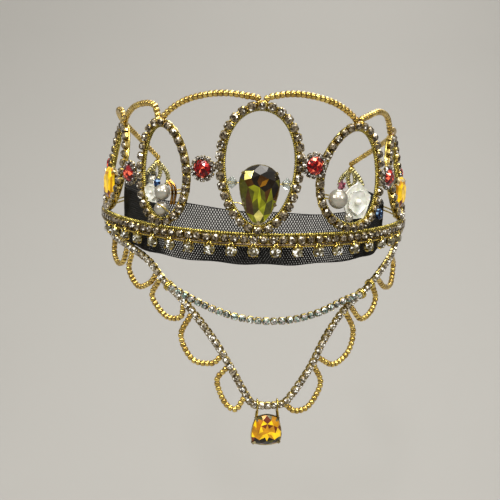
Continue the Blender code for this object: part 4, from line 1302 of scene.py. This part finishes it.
def make_octagon(name, loop, seed):
    angle, width, top, _, tip, _ = LOOPS[loop]
    axes = frame_at(angle - math.copysign(OCTAGON_TURN, angle))
    out = OCTAGON_OUT - tip * (OCTAGON_MIDDLE / top) ** 1.5
    place = ring_point(angle, OCTAGON_MIDDLE, out)
    half_width, half_height = OCTAGON_WIDTH / 2, OCTAGON_HEIGHT / 2
    outline = cut_square(half_width, half_height, 0.5 * half_width)
    mesh = bmesh.new()
    stack(mesh, outline, OCTAGON_STEPS)
    draw = random.Random(seed)
    colours = [draw.choice(tones_at(face, OCTAGON_TONES)) for face in mesh.faces]
    dress = {"colours": colours, "replaces": name}
    place_piece(name + "_gem", mesh, place, axes, TINT_STONE, seed, **dress)
    corners = ((1, 1), (-1, 1), (1, -1), (-1, -1))
    grips = [(x * half_width * 0.86, y * half_height * 0.78) for x, y in corners]
    make_setting(name, "octagon", outline, grips, place, axes, seed, GOLD_SETTING)
    lines = []
    for height, share in OCTAGON_TIES:
        reach = degrees_for((width / 2 - 2.4) * share, angle)
        tie = [angle + along for along in spread(reach, 4)]
        lines.append([ring_point(there, OCTAGON_MIDDLE + height, out) for there in tie])
    wire_along(name + "_ties", lines, OCTAGON_TIE_RADIUS, GOLD_WIRE, 6)


# The jewels in the front side loops

SMALL_STONES = {
    # name: (angle, height, out), half width, half length
    "blue_stone_left": ((-35.0, 21.0, 0.8), 1.3, 2.1),
    "dark_stone_right": ((45.4, 9.9, 3.5), 1.6, 2.6),
}
STAR_PLACE = (29.6, 23.3, 1.4)
STAR_REACHES = (1.5, 2.5)
JEWEL_WIRE_RADIUS = 0.3
BRONZE_WIRE_RADIUS = 0.6
HOOK = ((-32.2, 12.8, 4.0), (-30.4, 11.6, 3.4), (-28.8, 9.6, 2.0), (-27.6, 7.4, 0.8))


def make_jewels():
    for name, (*spot, radius) in PEARLS.items():
        mesh = bmesh.new()
        bmesh.ops.create_uvsphere(mesh, u_segments=36, v_segments=24, radius=radius * 1.07)
        place_on_ring(name + "_bead", mesh, spot, PEARL, flat=False, replaces=name)
    for name, (*spot, radius) in FLOWERS.items():
        make_flower(name, spot, radius)
    for name, (spot, wide, long) in SMALL_STONES.items():
        mesh = bmesh.new()
        add_brilliant(mesh, lambda t: (wide * cos(t), long * sin(t)), 8, (1.3, 1.0, 0.4, -0.8))
        place_on_ring(name + "_gem", mesh, spot, BLUE_STONE, seed=5, replaces=name)
    star = bmesh.new()
    points = [(x * r, y * r) for (x, y), r in zip(round_outline(1.0, 12), STAR_REACHES * 6)]
    stack(star, points, ((0.8, -0.8), (1, 0), (0.4, 1.2)))
    place_on_ring("star_gem", star, STAR_PLACE, PINK_STONE, seed=3, replaces="star_stone_right")
    stem = smooth([ring_point(*spot) for spot in BRONZE_BEAD], 0.6)
    hoop = smooth([ring_point(a + 1.3, h + 0.4, o + 0.2) for a, h, o in BRONZE_BEAD], 0.6)
    wire_along(
        "bronze_curve", [stem, hoop], BRONZE_WIRE_RADIUS, BRONZE, 12, replaces="bronze_bead_left"
    )
    hook = smooth([ring_point(*spot) for spot in HOOK], 0.5)
    wire_along("jewel_wire_left", [hook], JEWEL_WIRE_RADIUS, GOLD_WIRE)


def make_flower(name, spot, radius):
    """Two rounds of cupped petals round a bead."""
    mesh = bmesh.new()
    for petals, reach, lift, offset in ((5, 1.0, 0.0, 0.2), (5, 0.66, 0.8, 0.8)):
        for k in range(petals):
            turn = 2 * pi * (k + offset) / petals
            add_petal(mesh, turn, radius * reach * 1.22, lift)
    heart = Matrix.Translation((0, 0, 1.9))
    sizes = {"u_segments": 14, "v_segments": 10, "radius": radius * 0.2}
    bmesh.ops.create_uvsphere(mesh, matrix=heart, **sizes)
    place_on_ring(name + "_carving", mesh, spot, SHELL, flat=False, replaces=name)


def add_petal(mesh, turn, reach, lift):
    """One cupped petal of two skins, from the heart out to reach."""
    along, across = Vector((cos(turn), sin(turn), 0)), Vector((-sin(turn), cos(turn), 0))
    rows, columns = 7, 9
    sheets = []
    for thick in (0.0, -0.45):
        sheet = []
        for i in range(rows):
            u = i / (rows - 1)
            width = reach * 0.68 * sin(pi * min(1.0, 0.16 + 0.80 * u)) ** 0.7
            row = []
            for j in range(columns):
                v = 2 * j / (columns - 1) - 1
                length = reach * (0.10 + 0.90 * u * (1 - 0.13 * v * v))
                cup = 0.9 * u * u + 0.35 * v * v * u + 0.18 * sin(5 * v + 3 * turn) * u
                point = along * length + across * width * v + UP * (lift + cup + thick)
                row.append(mesh.verts.new(point))
            sheet.append(row)
        sheets.append(sheet)
    top, bottom = sheets
    for i in range(rows - 1):
        for j in range(columns - 1):
            mesh.faces.new((top[i][j], top[i + 1][j], top[i + 1][j + 1], top[i][j + 1]))
            low, far = bottom[i], bottom[i + 1]
            mesh.faces.new((low[j], low[j + 1], far[j + 1], far[j]))
    rim = [(0, j) for j in range(columns)]
    rim += [(i, columns - 1) for i in range(1, rows)]
    rim += [(rows - 1, j) for j in range(columns - 2, -1, -1)]
    rim += [(i, 0) for i in range(rows - 2, 0, -1)]
    for (a, b), (c, d) in zip(rim, rim[1:] + rim[:1]):
        mesh.faces.new((top[a][b], top[c][d], bottom[c][d], bottom[a][b]))


# The bead arches and leaf loops


def arch_line(name):
    start, end, rise, peak, swing = ARCHES[name]
    side = -1 if "left" in name else 1
    angle_a, height_a, out_a = loop_top(start)
    angle_a += degrees_for(side * ARCH_BESIDE, angle_a)
    if end is None:
        angle_b, height_b, out_b = side * LEAF_ANGLE, LEAF_FOOT + LEAF_LENGTH + 1.7, 0.0
    else:
        angle_b, height_b, out_b = loop_top(end)
        angle_b -= degrees_for(side * ARCH_BESIDE, angle_b)
    points = []
    for k in range(17):
        share = k / 16
        hump = 1 - abs(2 * share**peak - 1) ** 2.4
        height = height_a + (height_b - height_a) * share + ARCH_FOOT + rise * hump
        out = out_b + (out_a - out_b) * (1 - share) ** swing
        points.append(ring_point(angle_a + (angle_b - angle_a) * share, height, out))
    close = degrees_for(side * 0.45 * ARCH_BESIDE, angle_a)
    points.insert(0, ring_point(loop_top(start)[0] + close, height_a - 0.6, out_a + 0.6))
    if end:
        points.append(ring_point(loop_top(end)[0] - close, height_b - 0.6, out_b + 0.6))
    return with_out(smooth(points, 0.8))


def make_arches():
    for seed, name in enumerate(ARCHES):
        settings = {"seed": seed, "wobble": 0.09, "replaces": name}
        line = arch_line(name)
        set_along(name + "_beads", line, ARCH_ELEMENT, ARCH_GLASS, ARCH_PITCH, **settings)


def make_leaf_loops():
    for name, side in (("leaf_loops_left", -1), ("leaf_loops_right", 1)):
        centre = side * LEAF_ANGLE
        for lean, word, solid in ((-1, "front", name), (1, "back", None)):
            points = []
            for k in range(40):
                turn = 2 * pi * k / 40
                along = (1 - cos(turn)) / 2
                wide = LEAF_WIDTH / 2 * sin(turn) * (1 - 0.35 * cos(2 * turn))
                there = centre + degrees_for(lean * LEAF_SPREAD * (1 - along) + wide, centre)
                points.append(ring_point(there, LEAF_FOOT + LEAF_LENGTH * along))
            settings = {"closed": True, "seed": 2, "replaces": solid}
            line = with_out(points)
            set_along(f"{name}_{word}", line, LEAF_ELEMENT, LEAF_GLASS, LEAF_PITCH, **settings)
        mesh = bmesh.new()
        bmesh.ops.create_uvsphere(mesh, u_segments=20, v_segments=14, radius=2.0)
        spot = (centre, LEAF_FOOT + LEAF_LENGTH)
        place_on_ring(name + "_bead", mesh, spot, GOLD_WIRE, flat=False)


# The drape over the brow


def chain_height(angle):
    for (a, low), (b, high) in zip(V_CHAIN, V_CHAIN[1:]):
        if a <= angle <= b:
            return low + (high - low) * (angle - a) / (b - a)
    return V_CHAIN[-1][1]


def off_chain(angle, towards, radius):
    """Where a string that runs on towards a point starts, just clear of the V chain."""
    on_chain = brow_point(angle, chain_height(angle))
    way = (towards - on_chain).normalized()
    return on_chain + way * (1.5 + radius * 0.6)


def make_chain(name, line, material, pitch, sizes, seed, replaces):
    """A fine chain of stones on the brow, over the wire that links its cups."""
    settings = {"sizes": sizes, "replaces": replaces, "wobble": 0.08}
    set_stones(name, line, SMALL_CUT, material, pitch, (seed, seed), **settings)
    link = points_of(shift(line, 0, -0.6))
    wire_along(name + "_link", [link], LINK_RADIUS, GOLD_WIRE, 6)


def make_drape():
    line = with_out(smooth([brow_point(*row) for row in V_CHAIN], 1.5))
    make_chain("v_chain", line, BROW_STONE, V_PITCH, (1.2, 1.12), 8, "v_chain")
    make_swag()
    for seed, (name, (start, *passes, end)) in enumerate(SCALLOPS.items()):
        route = [brow_point(*place) for place in passes]
        route.insert(0, off_chain(start, route[0], SCALLOP_BEAD))
        route.append(off_chain(end, route[-1], SCALLOP_BEAD))
        line = with_out(smooth(route, 1.0))
        settings = {"seed": seed, "wobble": 0.1, "replaces": name}
        set_along(name + "_beads", line, SCALLOP_ELEMENT, ARCH_GLASS, SCALLOP_PITCH, **settings)


def make_swag():
    start, end = SWAG_ENDS
    low, high = chain_height(start) + SWAG_RISES[0], chain_height(end) + SWAG_RISES[1]
    route = []
    for k in range(1, 8):
        share = k / 8
        sag = SWAG_SAG * (4 * share * (1 - share)) ** SWAG_ROUND
        height = low + (high - low) * share - sag
        route.append(brow_point(start + (end - start) * share, height))
    route.insert(0, off_chain(start, route[0], SWAG_REACH))
    route.append(off_chain(end, route[-1], SWAG_REACH))
    line = with_out(smooth(route, 1.2))
    make_chain("swag", line, TINTED_STONE, SWAG_PITCH, (1.16, 1.18), 9, "swag_chain")
    coils = []
    for angle in (start, end, end + 5.0):
        middle = brow_point(angle, chain_height(angle))
        ahead = (brow_point(angle + 1, chain_height(angle + 1)) - middle).normalized()
        out = brow_out(middle)
        across = ahead.cross(out)
        for step in (-0.5, 0.5):
            hub = middle + ahead * step
            coils.append([hub + out * x + across * y for x, y in round_outline(2.0, 16)])
    wire_along("swag_wraps", coils, WRAP_RADIUS, GOLD_WIRE, closed=True)


# The pendant


def cushion_edge(turn):
    """The pendant's edge at a turn from its right side, narrower and taller above."""
    reach = PENDANT_WIDTH / 2 / max(abs(cos(turn)), abs(sin(turn))) ** 0.46
    narrower = 1 - 0.13 * sin(turn)
    taller = 1.16 if sin(turn) > 0 else 0.95
    return (reach * cos(turn) * 0.92 * narrower, reach * sin(turn) * 0.93 * taller)


def make_pendant():
    level = chain_height(PENDANT_ANGLE)
    left, right = [brow_point(PENDANT_ANGLE + s * PENDANT_TIE_ANGLE, level) for s in (-1, 1)]
    hinge = (left + right) / 2
    across = (right - left).normalized()
    out = across.cross(UP)
    axes = (across, UP, out)
    place = hinge - UP * PENDANT_DROP
    mesh = bmesh.new()
    kinds = add_brilliant(mesh, cushion_edge, 8, (3.2, 2.5, 0.9, -0.4))
    mesh.faces.index_update()
    draw = random.Random(21)
    colours = [DEEP_AMBER] * len(mesh.faces)
    for face in [face for faces in kinds.values() for face in faces]:
        colours[face.index] = draw.choice(tones_at(face, CUSHION_TONES))
    dress = {"colours": colours, "replaces": "pendant", "body": "pendant"}
    place_piece("pendant_gem", mesh, place, axes, TINT_STONE, 3, **dress)
    grips = [cushion_edge(radians(turn)) for turn in (45, 135, 225, 315)]
    edge = outline_of(cushion_edge, 32)
    make_setting("pendant", "pendant", edge, grips, place, axes, 3, GOLD_SETTING, body="pendant")
    lines = []
    for side in (-1, 1):
        middle = hinge + across * side * 4.4
        tie = []
        for k in range(15):
            turn = radians(-90 + 360 * k / 14)
            round_chain = (out * cos(turn) + UP * sin(turn)) * PENDANT_TIE_RADIUS
            tie.append(middle + round_chain + across * 0.25 * (k - 7) / 7)
        foot = place + across * side * 5.0 + UP * 4.6 - out * 0.4
        lines.append([foot, *tie])
        lines.append([tie[-1] + across * 0.1, foot + across * 0.6 - UP * 0.5])
    wire_along("pendant_ties", lines, PENDANT_WIRE_RADIUS, GOLD_WIRE, body="pendant")


# The net band


def net_point(angle, height, inwards):
    ripple = 0.35 * sin(radians(angle * 9)) + 0.25 * sin(radians(angle * 23) + height * 0.3)
    out = ripple * (0.4 + 0.6 * abs(height) / 12) - inwards
    return oval_point(NET_HALF_WIDTH, NET_HALF_DEPTH, radians(angle), height, out)


def net_top(angle):
    """The net's top edge, which stands higher on the left."""
    return 11.8 - 2.6 * sin(radians(angle)) + 0.35 * sin(radians(angle * 11))


def net_bottom(angle):
    return -11.5 + 0.7 * cos(radians(angle * 2)) + 0.3 * sin(radians(angle * 17))


def net_threads(low_at, high_at, inwards, offset):
    """Threads that cross on the slant between two edges."""
    degree = radians(1) * (NET_HALF_WIDTH + NET_HALF_DEPTH) / 2
    slant = NET_CELL / NET_CELL_HEIGHT / degree
    step = NET_CELL / degree
    lines = []
    count = int(NET_END * 2 / step)
    for way in (-1, 1):
        for k in range(-12, count + 12):
            start = -NET_END + (k + offset) * step
            line = []
            for row in range(-8, 8):
                height = row * NET_CELL_HEIGHT
                angle = start + way * height * slant
                low, high = low_at(angle), high_at(angle)
                near = low - NET_CELL_HEIGHT <= height <= high + NET_CELL_HEIGHT
                if near and abs(angle) <= NET_END:
                    level = min(max(height, low), high)
                    line.append(net_point(start + way * level * slant, level, inwards))
            if len(line) > 1:
                lines.append(line)
    return lines


def make_net():
    """The net, folded up inside at its foot."""
    lines = net_threads(net_bottom, net_top, NET_INWARDS, 0.0)
    lines += net_threads(net_bottom, lambda angle: NET_FOLD_TOP, NET_FOLD_INWARDS, 0.5)
    angles = spread(NET_END, 180)
    for edge in (net_top, net_bottom):
        lines.append([net_point(a, edge(a), NET_INWARDS) for a in angles])
    for end in (-NET_END, NET_END):
        low, high = net_bottom(end), net_top(end)
        heights = [low + (high - low) * k / 16 for k in range(17)]
        lines.append([net_point(end, height, NET_INWARDS) for height in heights])
    return wire_along("net", lines, NET_THREAD, NET, 3, replaces="net_band")


# The stage


def make_stage():
    wall = bmesh.new()
    profile = [(-3.0, -0.32), (0.15, -0.32)]
    for k in range(1, 9):
        turn = pi / 2 * k / 8
        profile.append((0.15 + 0.55 * sin(turn), -0.32 + 0.55 * (1 - cos(turn))))
    profile.append((0.70, 3.0))
    left, right = [[wall.verts.new((x, y, z)) for y, z in profile] for x in (-4.0, 4.0)]
    for k in range(len(profile) - 1):
        wall.faces.new((left[k], left[k + 1], right[k + 1], right[k]))
    data = bpy.data.meshes.new("backdrop")
    wall.to_mesh(data)
    wall.free()
    data.shade_smooth()
    data.materials.append(start_material("plain_paper", None, PAPER, 0.0, 0.9)[0])
    backdrop = bpy.data.objects.new("backdrop", data)
    bpy.context.scene.collection.objects.link(backdrop)
    make_room()
    for name, place, size, power, colour in LAMPS:
        lamp = bpy.data.lights.new(name, "AREA")
        lamp.size = size
        lamp.energy = power
        lamp.color = colour
        made = bpy.data.objects.new(name, lamp)
        made.location = place
        aim = Vector(VIEW_TARGET) * MM - Vector(place)
        made.rotation_euler = aim.to_track_quat("-Z", "Y").to_euler()
        made.visible_camera = False
        bpy.context.scene.collection.objects.link(made)


def make_room():
    """A room that is bright above, dark at eye height and mid-grey below."""
    world = bpy.data.worlds.new("studio")
    world.use_nodes = True
    tree = world.node_tree
    place = put(tree, "ShaderNodeTexCoord", {}, "Generated")
    height = stretch(tree, put(tree, "ShaderNodeSeparateXYZ", {0: place}, "Z"), -1.0, 1.0)
    shade = put(tree, "ShaderNodeValToRGB", {"Fac": height})
    ramp = shade.node.color_ramp
    for level, grey in ROOM_SHADES:
        stop = ramp.elements.new(level)
        stop.color = (grey, grey, grey * 0.97, 1)
    ramp.elements.remove(ramp.elements[0])
    ramp.elements.remove(ramp.elements[-1])
    fill(tree, tree.nodes["Background"], {"Color": shade, "Strength": 1.0})
    bpy.context.scene.world = world


def make_camera():
    azimuth, elevation, roll = radians(VIEW_AZIMUTH), radians(VIEW_ELEVATION), radians(VIEW_ROLL)
    away = cos(elevation)
    back = Vector((sin(azimuth) * away, -cos(azimuth) * away, sin(elevation)))
    lens = bpy.data.cameras.new("camera")
    lens.sensor_width = 36.0
    lens.lens = FOCAL_PIXELS * lens.sensor_width / FRAME_PIXELS
    made = bpy.data.objects.new("camera", lens)
    right = UP.cross(back).normalized()
    up = back.cross(right)
    axes = (right * cos(roll) + up * sin(roll), up * cos(roll) - right * sin(roll), back)
    place = Vector(VIEW_TARGET) + back * VIEW_DISTANCE
    made.matrix_world = Matrix.Translation(place * MM) @ Matrix(axes).transposed().to_4x4()
    bpy.context.scene.collection.objects.link(made)
    bpy.context.scene.camera = made


make_camera()
make_stage()
make_base()
make_crystals()
for number, loop_name in enumerate(LOOPS):
    make_loop(loop_name, 11 + number)
for number, rosette_name in enumerate(ROSETTES):
    make_rosette(rosette_name, 21 + number)
make_pear()
make_octagon("octagon_left", "loop_side_left", 31)
make_octagon("octagon_right", "loop_side_right", 32)
make_jewels()
make_arches()
make_leaf_loops()
make_drape()
make_pendant()
net_piece = make_net()

for element in list(shelf.objects):
    bpy.data.objects.remove(element, do_unlink=True)
bpy.data.collections.remove(shelf)
bpy.context.scene.view_settings.view_transform = "Standard"
